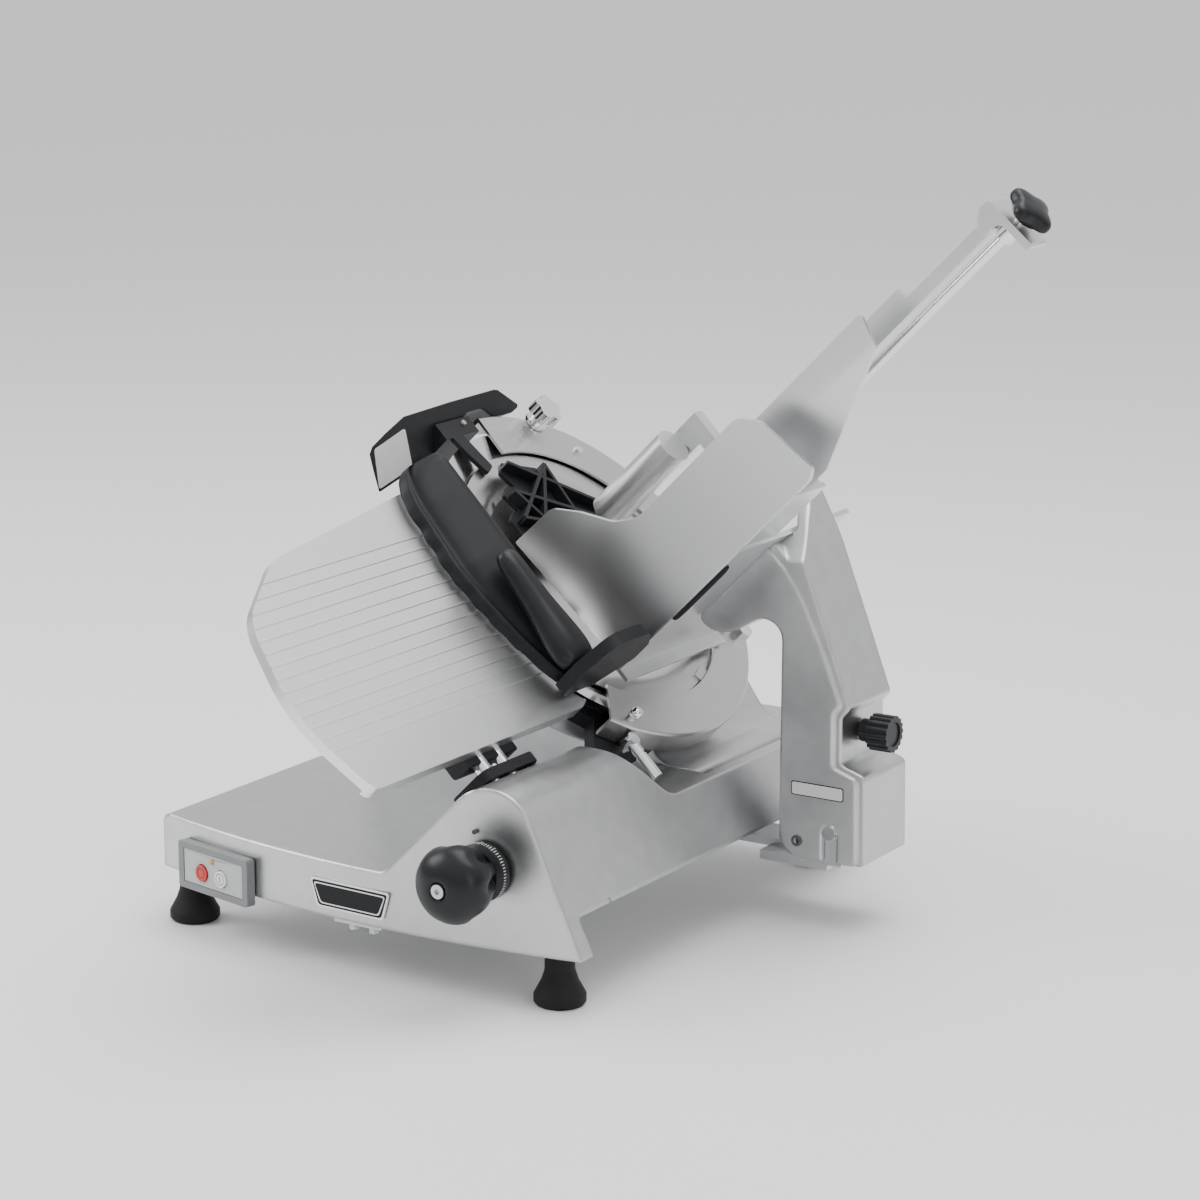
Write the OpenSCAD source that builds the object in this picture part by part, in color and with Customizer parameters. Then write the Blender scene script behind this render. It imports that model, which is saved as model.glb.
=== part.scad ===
// Countertop deli slicer with a tilted knife, drawn as its separate pieces.
// Millimetres, Z up. The operator stands on the -Y side.

/* [Base] */
// Width of the base casting, grows to the left of the hump
base_w = 462; // [400:1:500]
// Depth of the base casting, front to back
base_d = 520; // [505:1:600]
// Height of the rubber feet under the front apron
foot_h = 50; // [36:1:60]
// Height of the front apron, from its lower edge to the tray
apron_h = 50; // [46:1:54]
// How far the side skirts stop above the apron's lower edge
skirt_lift = 32; // [26:1:36]
// How far the middle of the front face bows out
front_bow = 28; // [10:1:34]
// Wall of the base and column castings
cast_wall = 6; // [4:0.5:8]

/* [Knife] */
// Diameter of the knife
knife_d = 330; // [290:1:345]
// Gap between the knife edge and the gauge plate or housing rim
knife_gap = 3; // [2:0.5:6]
// Radius of the knife spindle
spindle_r = 12; // [9:0.5:13]
// Width of one spindle bearing
bearing_w = 10; // [8:0.5:11]

/* [Slice thickness] */
// Travel of the gauge plate from closed to fully open
gauge_travel = 22; // [15:1:22]
// Turn of the index knob over that travel, degrees
index_turn = 300; // [240:5:310]
// Radius of the index shaft
index_shaft_r = 6; // [5:0.5:7]
// Diameter of the index knob
index_knob_d = 69; // [55:1:75]
// Thickness of the gauge plate
gauge_t = 9; // [7:0.5:10]
// Number of ribs on the gauge plate
rib_count = 14; // [8:1:16]

/* [Carriage] */
// Radius of the transport rod
transport_r = 10; // [8:0.5:11]
// Depth of the carriage arm, front to back
arm_d = 80; // [66:1:90]
// Height of the food chute wall
chute_h = 82; // [70:1:86]
// Thickness of the chute plates
chute_t = 5; // [3:0.5:6]
// Radius of the hinge pin the carriage tilts on
hinge_pin_r = 6.5; // [4:0.5:7]

/* [Pusher] */
// Length of the slide rod
rod_len = 395; // [340:1:420]
// Radius of the slide rod
rod_r = 4.5; // [3.5:0.5:5]
// Length of the sleeve that rides on the rod
sleeve_len = 60; // [40:1:70]
// Radius of the pusher weight
weight_r = 17; // [12:1:18]

/* [Fits] */
// Radial clearance of a shaft that turns or slides in a bore
running_fit = 0.05; // [0.01:0.01:0.1]
// Gap between pieces that pass each other
pass_gap = 0.5; // [0.3:0.1:1]

/* [Hidden] */
$fn = 64;
tilt = 45;

// Heights from the floor
tray_z = foot_h + apron_h;
skirt_z = foot_h + skirt_lift;
hump_z = tray_z + 91;
low_hump_z = tray_z + 38;

// Base casting in plan; the hump keeps its place and the tray grows to the left
base_right = 442;
base_left = base_right - base_w;
slope_x = 253;
side_lean = 22;
hump_r = 40;
saddle_y = 147;
saddle_end_y = 205;
leg_depth = 19;
chord = [base_w, -26];
chord_len = norm(chord);
bow_r = chord_len * chord_len / (8 * front_bow) + front_bow / 2;
chord_mid = [base_right - base_w / 2, 17];
bow_dir = [26, base_w] / chord_len;
bow_centre = chord_mid + bow_dir * (bow_r - front_bow);

// Slicing plane: knife centre and its local frame
knife_x = 246;
knife_y = 322;
knife_z = tray_z + 194;
knife_r = knife_d / 2;
cover_r = knife_r - 25.5;
ring_r = knife_r + 18;
ring_in_r = cover_r + 1;
ring_t = 3;
ring_from = -131;
ring_to = 88;
housing_r = knife_r - 15;
housing_top = -24;
housing_low = housing_top - 16 - 2 * bearing_w;
bearing_r = spindle_r + 9;
hub_r = 38;
pulley_low = housing_low - 20;
pulley_w = 14;
pulley_r = 29;
motor_pulley_r = 15;
motor_a = 60;
motor_b = -86;
motor_r = 45;
motor_len = 62;
motor_shaft_r = 7;
belt_t = 3;

// Index drive
index_x = 356;
index_z = tray_z + 19;
cam_y0 = 94;
cam_t = 8;
follower_r = 5;
follower_reach = 38;
cam_gap = 1;
cam_r = follower_reach - follower_r - cam_gap;
guide_b = -163;
guide_r = 6;
stem_y = [38, 64];
stem_d = -20;
stem_r = 7;
stem_top_b = -128;

// Transport under the base
transport_x = 330;
transport_z = foot_h + 18;
block_h = 27;
plate_z = foot_h + 12;
plate_t = 8;
arm_y = 320;
hinge_x = 500;
hinge_z = foot_h + 40;
lock_z = foot_h + 128;
guide_bar_x = 396;

// Chute and pusher, in the slicing plane's frame
wall_a = 250 - knife_y;
floor_b = -95;
wall_end = 290;
dip_b = floor_b + chute_h;
bar_a = 12;
bar_w = 18;
bar_low_b = -37;
bar_h = 12;
rod_a = 21;
rod_b = -46;
rod_start = 140;
bar_end = rod_start + rod_len;
sleeve_r = rod_r + 3;
sleeve_start = 153;
mount_d0 = 122;
mount_d1 = 150;
plate_d = 8;
weight_a = 18;
weight_b = 33;
weight_d0 = 46;
weight_len = 98;

// Extents that put the origin under the middle of the machine
gauge_front_y = knife_y - 464;
knob_reach = bar_end + 26;
far_x = knife_x + sqrt(0.5) * (knob_reach + 69);
centre_x = (base_left + far_x) / 2;
centre_y = (gauge_front_y + base_d) / 2;

// ---- Helpers ----

function unit(v) = v / norm(v);

// Points of the arc that rounds corner p between its neighbours
function corner(a, p, b, r, n) =
    let (
        u = unit(a - p), v = unit(b - p),
        half = acos(max(-1, min(1, u * v))) / 2,
        centre = p + unit(u + v) * r / sin(half),
        d1 = unit(p + u * r / tan(half) - centre),
        d2 = unit(p + v * r / tan(half) - centre),
        sweep = 180 - 2 * half
    )
    [for (i = [0:n])
        centre + r * (sin(sweep * (1 - i / n)) * d1 + sin(sweep * i / n) * d2) / sin(sweep)];

// Outline through [x, y, radius] points, with each corner rounded by its radius
function rounded(pts, n = 6) =
    let (m = len(pts))
    [for (i = [0:m - 1])
        let (
            p = pts[i], q = pts[(i + m - 1) % m], s = pts[(i + 1) % m],
            r = len(p) > 2 ? p[2] : 0
        )
        each (r > 0
            ? corner([q[0], q[1]], [p[0], p[1]], [s[0], s[1]], r, n)
            : [[p[0], p[1]]])];

// Machine frame to the part's own frame
module machine() {
    translate([-centre_x, -centre_y, 0]) children();
}

// Local x runs to the back, y up the slicing plane and z toward the food
module slicing_plane() {
    machine()
        translate([knife_x, knife_y, knife_z])
            rotate([0, tilt, 0])
                rotate([0, 0, 90]) children();
}

// Extrudes a sketch of [x, z] points between two y values
module along_y(y0, y1) {
    translate([0, y1, 0]) rotate([90, 0, 0]) linear_extrude(y1 - y0) children();
}

// Extrudes a sketch of [y, z] points between two x values
module along_x(x0, x1) {
    translate([x0, 0, 0]) rotate([90, 0, 90]) linear_extrude(x1 - x0) children();
}

// Extrudes a sketch between two heights
module along_z(z0, z1) {
    translate([0, 0, z0]) linear_extrude(z1 - z0) children();
}

// Front face of the base: its y and its turn at a given x
function bow_y(x) = bow_centre[1] - sqrt(bow_r * bow_r - pow(x - bow_centre[0], 2));
function bow_turn(x) = asin((x - bow_centre[0]) / bow_r);

// Local x along the front face, y up and z out toward the operator
module on_front(x, z) {
    machine()
        translate([x, bow_y(x), z])
            rotate([0, 0, bow_turn(x)])
                rotate([90, 0, 0]) children();
}

module disc(r, z0, z1) {
    translate([0, 0, z0]) cylinder(r = r, h = z1 - z0);
}

// Knob outline: a round body with lobes round it
module lobed(core_r, lobe_r, reach, count) {
    circle(r = core_r);
    for (i = [0:count - 1]) {
        rotate(i * 360 / count) translate([reach, 0]) circle(r = lobe_r);
    }
}

// ---- Base ----

// Front view of the base, drawn in by w on its upper sides
function base_profile(w) =
    let (
        lean_x = tan(side_lean),
        right = base_right - w / cos(side_lean),
        rise = slope_x - tray_z + w * sqrt(2),
        apex_z = (right + lean_x * foot_h - rise) / (1 + lean_x),
        low = w > 0 ? foot_h - 1 : foot_h
    )
    rounded([
        [base_left + w, low, 0],
        [right + lean_x * (foot_h - low), low, 0],
        [apex_z + rise, apex_z, hump_r - w],
        [tray_z - w + rise, tray_z - w, 14 + w],
        [base_left + w, tray_z - w, max(1, 10 - w)]
    ], 10);

module base_plan(w) {
    intersection() {
        polygon(rounded([
            [base_left + w, -60, 0],
            [base_right - w, -60, 0],
            [base_right - w, base_d - w, 24 - w],
            [base_left + w, base_d - w, 30 - w]
        ]));
        translate(bow_centre) circle(r = bow_r - w, $fn = 360);
    }
}

// What the saddle and the low rear hump take off the full hump
module saddle_cut(w) {
    along_x(slope_x, base_right + 60)
        polygon(rounded([
            [40, hump_z + 0.6 - w, 0],
            [saddle_y - w, hump_z + 0.6 - w, 36],
            [saddle_end_y - w, low_hump_z - w, 36],
            [base_d + 1, low_hump_z - w, 0],
            [base_d + 1, hump_z + 90, 0],
            [40, hump_z + 90, 0]
        ], 8));
}

module base_shape(w) {
    difference() {
        intersection() {
            along_y(-60, base_d - w) polygon(base_profile(w));
            along_z(foot_h - 1, hump_z + 20) base_plan(w);
        }
        saddle_cut(w);
    }
}

// Opening in the base top under the column
module column_opening() {
    machine()
        along_z(tray_z - cast_wall - 2, hump_z)
            translate([60, knife_y - 26]) square([180, 172]);
}

module base_casting() {
    color("silver")
        difference() {
            union() {
                difference() {
                    machine() base_shape(0);
                    machine()
                        difference() {
                            base_shape(cast_wall);
                            for (p = foot_places) {
                                translate([p[0], p[1], 0]) cylinder(r = 17, h = hump_z + 10);
                            }
                            for (p = cover_screw_places) {
                                translate([p[0], p[1], skirt_z + 4]) cylinder(r = 6, h = hump_z);
                            }
                        }
                    // Skirts end above the apron, and the apron stays a deep lip
                    machine()
                        along_z(foot_h - 2, skirt_z)
                            difference() {
                                translate([base_left - 10, 0]) square([base_w + 20, base_d + 10]);
                                translate([bow_centre[0], bow_centre[1]])
                                    difference() {
                                        circle(r = bow_r + 9, $fn = 360);
                                        circle(r = bow_r - leg_depth, $fn = 360);
                                    }
                                for (p = foot_places) {
                                    translate([p[0], p[1]]) circle(r = 17);
                                }
                            }
                }
                // Boss for the index shaft
                machine()
                    translate([index_x, bow_y(index_x) + 3, index_z])
                        rotate([-90, 0, 0]) cylinder(r = 13, h = 22);
                // Two lugs that hold the guide rod of the gauge
                intersection() {
                    machine() base_shape(1);
                    slicing_plane()
                        for (d = [guide_d0, guide_d1 - 7]) {
                            translate([guide_a - 10, guide_b - 9, d]) cube([20, slope_b - guide_b + 8, 7]);
                        }
                }
            }
            column_opening();
            slicing_plane()
                translate([guide_a, guide_b, guide_d0 - 1]) cylinder(r = guide_r, h = guide_d1 - guide_d0 + 1);
            // Bores of the cover screws and of the transport rod's front end
            for (p = cover_screw_places) {
                machine() translate([p[0], p[1], skirt_z]) cylinder(r = 2, h = 12);
            }
            machine()
                translate([transport_x, rod_y0, transport_z])
                    rotate([-90, 0, 0]) cylinder(r = transport_r, h = 40);
            // Bore of the index shaft
            machine()
                translate([index_x, -60, index_z])
                    rotate([-90, 0, 0]) cylinder(r = index_shaft_r + running_fit, h = 100);
            // Slot for the gauge stems, along their travel
            slicing_plane()
                translate([stem_y[0] - stem_r - 1.5 - knife_y, -160, stem_d - gauge_travel - stem_r - 1.5])
                    cube([stem_y[1] - stem_y[0] + 2 * stem_r + 3, 26, gauge_travel + 2 * stem_r + 3]);
            // Bores for the feet
            for (p = foot_places) {
                machine() translate([p[0], p[1], foot_h - 1]) cylinder(r = 4, h = 24);
            }
            // Gap in the skirt behind the front leg
            machine()
                translate([base_right - 40, 69, skirt_z - 1]) cube([60, 4, 5]);
            // Bores of the buttons through the front wall
            on_front(panel_x, panel_z)
                for (x = [stop_x, start_x]) {
                    translate([x, button_y, -20]) cylinder(r = button_r + 1, h = 26);
                }
            // Opening for the power inlet
            machine()
                translate([inlet_x - 13, base_d - cast_wall - 1, inlet_z - 9.5]) cube([26, cast_wall + 2, 19]);
        }
}

guide_a = 51 - knife_y;
guide_d0 = -76;
guide_d1 = 5;
inlet_x = 340;
inlet_z = tray_z + 12;

module base_cover() {
    color("gainsboro")
        difference() {
            machine()
                along_z(skirt_z + 1, skirt_z + 4)
                    difference() {
                        intersection() {
                            base_plan(cast_wall + 1.5);
                            translate([base_left, leg_depth + 1])
                                square([guide_bar_x + 16 - base_left, base_d]);
                        }
                        for (p = foot_places) {
                            translate([p[0], p[1]]) circle(r = 18);
                        }
                    }
            for (p = cover_screw_places) {
                machine() translate([p[0], p[1], skirt_z]) cylinder(r = 2.2, h = 6);
            }
        }
}

cover_screw_places = [
    [base_left + 30, 90], [base_left + 30, base_d - 60],
    [280, 90], [280, base_d - 30]
];

module cover_screws() {
    color("lightgray")
        for (p = cover_screw_places) {
            machine()
                translate([p[0], p[1], 0]) {
                    disc(4, skirt_z - 1.6, skirt_z + 1);
                    disc(2, skirt_z + 0.9, skirt_z + 11);
                }
        }
}

foot_places = [
    [base_left + 22, 44], [404, 30], [base_left + 22, base_d - 25], [392, base_d - 25]
];

module foot(place) {
    color("#1c1c1e")
        machine()
            translate([place[0], place[1], 0]) {
                rotate_extrude()
                    polygon(rounded([
                        [0, 0, 0], [20, 0, 1.5], [22.5, 3, 1.5], [22.5, 9, 3],
                        [16, foot_h * 0.42, 12], [13, foot_h * 0.6, 12], [13, foot_h, 0], [0, foot_h, 0]
                    ]));
                disc(3.9, foot_h, foot_h + 20);
            }
}

module foot_front_left() { foot(foot_places[0]); }
module foot_front_right() { foot(foot_places[1]); }
module foot_rear_left() { foot(foot_places[2]); }
module foot_rear_right() { foot(foot_places[3]); }

// ---- Control panel ----

panel_x = base_left + 80;
panel_z = foot_h + 13;
panel_w = 94;
panel_h = 43;
panel_t = 9;
button_r = 7.5;
button_y = -3;
stop_x = -15;
start_x = 11;
lamp_x = -1;
lamp_y = 10;
button_travel = 1;

module control_box() {
    color("#55585b")
        on_front(panel_x, panel_z)
            difference() {
                along_z(0, panel_t)
                    polygon(rounded([
                        [-panel_w / 2, -panel_h / 2, 3], [panel_w / 2, -panel_h / 2, 3],
                        [panel_w / 2, panel_h / 2, 3], [-panel_w / 2, panel_h / 2, 3]
                    ]));
                along_z(panel_t - 1.5, panel_t + 1)
                    square([panel_w - 14, panel_h - 12], center = true);
                for (x = [stop_x, start_x]) {
                    translate([x, button_y, -1]) cylinder(r = button_r + pass_gap, h = panel_t + 2);
                }
                translate([lamp_x, lamp_y, -1]) cylinder(r = 2.5, h = panel_t + 2);
            }
}

module membrane() {
    color("#8d9194")
        on_front(panel_x, panel_z)
            difference() {
                along_z(panel_t - 1.5, panel_t - 0.7)
                    square([panel_w - 14.6, panel_h - 12.6], center = true);
                for (x = [stop_x, start_x]) {
                    translate([x, button_y, 0]) cylinder(r = button_r + pass_gap, h = panel_t + 2);
                }
                translate([lamp_x, lamp_y, 0]) cylinder(r = 2.5, h = panel_t + 2);
            }
}

module pilot_lamp() {
    color("ivory")
        on_front(panel_x, panel_z)
            translate([lamp_x, lamp_y, 0]) {
                disc(2.3, 1, panel_t - 0.5);
                translate([0, 0, panel_t - 0.5]) sphere(r = 2.3);
            }
}

module push_button(x) {
    on_front(panel_x, panel_z)
        translate([x, button_y, 0]) {
            disc(button_r, 1.5, panel_t + 1);
            disc(3, -6, 1.6);
        }
}

module start_button() { color("white") push_button(start_x); }
module stop_button() { color("red") push_button(stop_x); }

module badge_plate() {
    color("silver")
        on_front(218, foot_h + 21)
            along_z(0, 2)
                polygon(rounded([
                    [-42, -13, 3], [42, -13, 3], [42, 13, 3], [-42, 13, 3]
                ]));
}

module front_bracket() {
    color("lightgray")
        machine() {
            along_z(foot_h - 4, foot_h)
                translate([197, -8]) square([50, 18]);
            for (x = [213, 234]) {
                translate([x, 0, foot_h - 10]) cylinder(r = 5, h = 6.01, $fn = 6);
            }
        }
}

module index_mark() {
    color("gray") on_front(346, index_z + 32) disc(2, 0, 3);
}

module control_board() {
    color("darkgreen")
        machine() {
            translate([base_left + 30, 110, skirt_z + 5]) cube([90, 70, 2]);
            translate([base_left + 42, 122, skirt_z + 7]) cube([20, 18, 4]);
            translate([base_left + 80, 140, skirt_z + 7]) cube([26, 26, 3]);
            for (x = [36, 114]) {
                for (y = [116, 174]) {
                    translate([base_left + x, y, skirt_z + 4]) cylinder(r = 2.5, h = 1.01);
                }
            }
        }
}

module power_inlet() {
    color("#1c1c1e")
        machine()
            translate([inlet_x, base_d, inlet_z])
                rotate([-90, 0, 0])
                    difference() {
                        union() {
                            translate([-18, -11.5, 0.05]) cube([36, 23, 3]);
                            translate([-12.8, -9.3, -12]) cube([25.6, 18.6, 12.1]);
                        }
                        translate([-10.5, -7, -9]) cube([21, 14, 13]);
                    }
}

// ---- Index drive and gauge plate ----

module from_operator(y) {
    machine() translate([index_x, y, index_z]) rotate([90, 0, 0]) children();
}

dial_y = bow_y(index_x - 26) - pass_gap;
dial_t = 9;
ball_z = 36;
ball_r = index_knob_d / 2;

module index_dial() {
    color("#2b2d30")
        from_operator(dial_y)
            difference() {
                rotate_extrude()
                    polygon(rounded([
                        [0, 0, 0], [25.5, 0, 1], [25, dial_t, 2], [20, dial_t + 3, 1], [0, dial_t + 3, 0]
                    ]));
                disc(index_shaft_r, -1, dial_t + 5);
            }
}

module index_knob() {
    color("#232528")
        from_operator(dial_y)
            difference() {
                intersection() {
                    translate([0, 0, ball_z]) sphere(r = ball_r, $fn = 72);
                    disc(index_knob_d, dial_t + 3, ball_z + ball_r - 2);
                }
                disc(index_shaft_r, -1, ball_z + 10);
                for (i = [0:6]) {
                    rotate(i * 360 / 7)
                        translate([ball_r + 9, 0, ball_z])
                            rotate([0, 10, 0]) cylinder(r = 12, h = 80, center = true);
                }
                disc(7.5, ball_z + ball_r - 6, ball_z + ball_r + 2);
            }
}

module index_screw() {
    color("lightgray")
        from_operator(dial_y)
            difference() {
                disc(6, ball_z + ball_r - 6, ball_z + ball_r - 1.5);
                disc(2.5, ball_z + ball_r - 4, ball_z + ball_r);
            }
}

// Radius falls from cam_r by the gauge travel over the turn of the knob
function cam_outline(n = 60) = [
    for (i = [0:n])
        let (t = i / n, ang = tilt - index_turn * t, r = cam_r - gauge_travel * t)
        [r * cos(ang), r * sin(ang)]
];

module index_shaft() {
    color("lightgray") {
        from_operator(cam_y0 + cam_t + 8)
            disc(index_shaft_r, 0, cam_y0 + cam_t + 8 - dial_y + ball_z + 10);
        from_operator(cam_y0 + cam_t)
            linear_extrude(cam_t)
                difference() {
                    polygon(cam_outline());
                    circle(r = index_shaft_r);
                }
    }
}

function gauge_outline() = rounded([
    [-445, stem_top_b + 12, 10],
    [-474, -34, 130],
    [-446, 60, 60],
    [-372, 106, 50],
    [-92, 141, 5],
    [-60, 60, 0],
    [-60, -80, 0],
    [-138, stem_top_b + 12, 4]
], 12);

gauge_low_b = stem_top_b + 12;
rail_t = 14;
rail_w = 7;
rib_pitch = 12.3;
rib_first = 88;

module gauge_plate() {
    color("silver")
        slicing_plane()
            difference() {
                union() {
                    along_z(-gauge_t - 1, -1) polygon(gauge_outline());
                    intersection() {
                        along_z(-rail_t, 0) polygon(gauge_outline());
                        translate([-500, gauge_low_b, -rail_t]) cube([500, rail_w, rail_t]);
                    }
                    intersection() {
                        along_z(-1.5, 0) polygon(gauge_outline());
                        for (i = [0:rib_count - 1]) {
                            translate([-500, rib_first - i * rib_pitch, -0.9])
                                rotate([0, 90, 0]) cylinder(r = 1.1, h = 500, $fn = 24);
                        }
                    }
                }
                disc(knife_r + knife_gap, -30, 10);
                for (y = stem_y) {
                    translate([y - knife_y, gauge_low_b + 12, stem_d])
                        rotate([90, 0, 0]) cylinder(r = stem_r, h = 40);
                }
            }
}

stem_a = [stem_y[0] - knife_y, stem_y[1] - knife_y];

module gauge_bracket() {
    color("#1f2123")
        slicing_plane()
            difference() {
                along_x(stem_a[0] - 24, stem_a[1] + 24)
                    polygon(rounded([
                        [gauge_low_b + 2, -rail_t, 0], [gauge_low_b + rail_w + 1, -rail_t, 0],
                        [gauge_low_b + 70, -gauge_t - 1, 0],
                        [gauge_low_b + 70, -gauge_t - 5, 2], [gauge_low_b + 26, -34, 6],
                        [gauge_low_b - 8, -34, 4], [gauge_low_b - 8, -rail_t, 2]
                    ]));
                translate([stem_a[0] - 26, gauge_low_b + rail_w, -rail_t - 1])
                    cube([200, 1, rail_t]);
                for (a = stem_a) {
                    translate([a, gauge_low_b + 12, stem_d])
                        rotate([90, 0, 0]) cylinder(r = stem_r, h = 40);
                }
            }
}

stem_end_b = guide_b + 9;

module gauge_stems() {
    color("gainsboro")
        slicing_plane()
            for (a = stem_a) {
                translate([a, gauge_low_b + 12, stem_d])
                    rotate([90, 0, 0]) cylinder(r = stem_r, h = gauge_low_b + 12 - stem_end_b);
            }
}

module gauge_follower() {
    color("gray")
        slicing_plane()
            difference() {
                union() {
                    translate([stem_a[0] - 12, guide_b - 11, stem_d - 16])
                        cube([cam_y0 - 1 - stem_y[0] + 12, 20, 28]);
                    // Arm down to the cam roller
                    translate([cam_y0 - 9 - knife_y, index_b - 6, follower_d - 4])
                        cube([8, guide_b - index_b, 8]);
                    translate([cam_y0 - 3 - knife_y, index_b, follower_d])
                        rotate([0, 90, 0]) cylinder(r = follower_r, h = cam_t + 6);
                }
                translate([guide_a, guide_b, -100]) cylinder(r = guide_r + running_fit, h = 200);
            }
}

// Index shaft seen in the slicing plane's frame
index_b = (index_z - knife_z - (index_x - knife_x)) * sqrt(0.5);
index_d = (index_z - knife_z + (index_x - knife_x)) * sqrt(0.5);
follower_d = index_d + follower_reach;

module guide_rod() {
    color("lightgray")
        slicing_plane()
            translate([guide_a, guide_b, guide_d0]) cylinder(r = guide_r, h = guide_d1 - guide_d0);
}

boot_top_b = stem_top_b - 4;

module rubber_boot() {
    color("#17181a")
        slicing_plane()
            difference() {
                along_y(slope_b + pass_gap, boot_top_b)
                    polygon(rounded([
                        [stem_a[0] - 18, stem_d - 36, 10], [stem_a[1] + 36, stem_d - 36, 14],
                        [stem_a[1] + 36, stem_d + 12, 12], [stem_a[0] - 18, stem_d + 12, 10]
                    ]));
                for (a = stem_a) {
                    translate([a, 0, stem_d])
                        rotate([90, 0, 0]) cylinder(r = stem_r, h = 400);
                }
            }
}

// Left slope of the hump, as a height in the slicing plane's frame
slope_b = (tray_z - knife_z - (slope_x - knife_x)) * sqrt(0.5);

// ---- Knife, housing and drive ----

column_y0 = knife_y - 38;
column_y1 = knife_y + 156;

function plane_x(d, b) = knife_x + sqrt(0.5) * (d - b);
function plane_z(d, b) = knife_z + sqrt(0.5) * (d + b);

module knife_housing() {
    color("silver")
        difference() {
            union() {
                slicing_plane() {
                    disc(housing_r, housing_low, housing_top);
                    translate([0, 0, housing_top - 0.01])
                        rotate_extrude()
                            polygon([[housing_r - 7, 0], [housing_r, 0], [housing_r, 4], [housing_r - 7, 4]]);
                    // Post that the sharpener lifts on
                    translate([post_a, housing_r - 30, post_d])
                        rotate([-90, 0, 0]) cylinder(r = post_r, h = ring_r - housing_r + 38);
                }
                machine()
                    along_y(column_y0, column_y1)
                        polygon(rounded([
                            [12, tray_z, 0], [44, tray_z + 128, 90],
                            [plane_x(housing_top - 30, housing_r - 24), plane_z(housing_top - 30, housing_r - 24), 30],
                            [plane_x(housing_top - 4, housing_r - 8), plane_z(housing_top - 4, housing_r - 8), 4],
                            [plane_x(housing_top - 4, -120), plane_z(housing_top - 4, -120), 8],
                            [346, low_hump_z + 2, 26], [394, low_hump_z, 0],
                            [slope_x + low_hump_z - tray_z, low_hump_z, 0], [slope_x, tray_z, 14]
                        ], 10));
            }
            // Hollow of the column
            machine()
                along_y(column_y0 + cast_wall, column_y1 - cast_wall)
                    polygon(rounded([
                        [62, tray_z - 1, 0], [72, tray_z + 116, 70],
                        [plane_x(housing_low - 6, 60), plane_z(housing_low - 6, 60), 10],
                        [plane_x(housing_low - 4, -110), plane_z(housing_low - 4, -110), 10],
                        [slope_x + low_hump_z - tray_z, low_hump_z - 1, 0],
                        [slope_x, tray_z - 1, 0]
                    ], 8));
            slicing_plane() {
                disc(hub_r + 5, housing_top - 14, housing_top + 10);
                disc(bearing_r, housing_top - 14.1 - 2 * bearing_w, housing_top);
                disc(spindle_r + 3, housing_low - 60, housing_top);
                for (p = pin_places) {
                    rotate(p[0]) {
                        translate([p[1], 0, housing_top - 12]) cylinder(r = 3, h = 30);
                        translate([p[1] - 3, -3.1, housing_top + 1.9]) cube([40, 6.2, 10]);
                    }
                }
            }
        }
}

// Studs that hold the ring guard: angle and radius
pin_places = [[-112, housing_r - 12], [-30, housing_r - 12], [62, housing_r - 12]];

module ring_guard() {
    color("gainsboro")
        slicing_plane()
            difference() {
                union() {
                    rotate(ring_from)
                        rotate_extrude(angle = ring_to - ring_from, $fn = 128)
                            polygon(rounded([
                                [ring_in_r, 1.5, 0.6], [ring_in_r, 1.5 + ring_t, 0.6],
                                [ring_r, 1.5 + ring_t, 3], [ring_r, -19, 0.6],
                                [ring_r - 4, -19, 0.6], [ring_r - 4, 1.5, 1]
                            ]));
                    rotate(knob_angle) translate([knob_radius, 0, 0]) disc(9, -12, 1.5 + ring_t);
                }
                rotate(knob_angle) translate([knob_radius, 0, 0]) disc(4 + running_fit, -20, 20);
            }
}

module knife() {
    color("#d8dadc")
        slicing_plane()
            difference() {
                rotate_extrude($fn = 128)
                    polygon([
                        [spindle_r, -12], [cover_r - 13, -12], [cover_r - 2, -5.5],
                        [knife_r, 0], [knife_r - 12, -9], [60, -20], [spindle_r, -20]
                    ]);
                for (i = [0:2]) {
                    rotate(i * 120) translate([26, 0, -30]) {
                        cylinder(r = 3, h = 40);
                        translate([0, 0, 16.5]) cylinder(r = 5.5, h = 10);
                    }
                }
            }
}

module knife_hub() {
    color("lightgray")
        slicing_plane() {
            difference() {
                disc(hub_r, housing_top - 13, -20);
                for (i = [0:2]) {
                    rotate(i * 120) translate([26, 0, -30]) cylinder(r = 3, h = 40);
                }
            }
            disc(spindle_r, pulley_low - 2, -12.2);
            // Screws that hold the knife on the hub
            for (i = [0:2]) {
                rotate(i * 120) translate([26, 0, 0]) {
                    disc(3, -29, -13.4);
                    disc(5.3, -13.5, -12.2);
                }
            }
            // Driven pulley
            difference() {
                disc(pulley_r, pulley_low, pulley_low + pulley_w);
                translate([0, 0, pulley_low + 2])
                    rotate_extrude()
                        translate([pulley_r - 1.5, 0]) square([10, pulley_w - 4]);
            }
        }
}

module hub_bearings() {
    color("#b9bcc0")
        slicing_plane()
            for (i = [0:1]) {
                difference() {
                    disc(bearing_r, housing_top - 14 - (i + 1) * bearing_w + 0.4 * i,
                        housing_top - 14 - i * bearing_w - 0.4 * (1 - i));
                    disc(spindle_r + running_fit, -200, 0);
                }
            }
}

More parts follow.
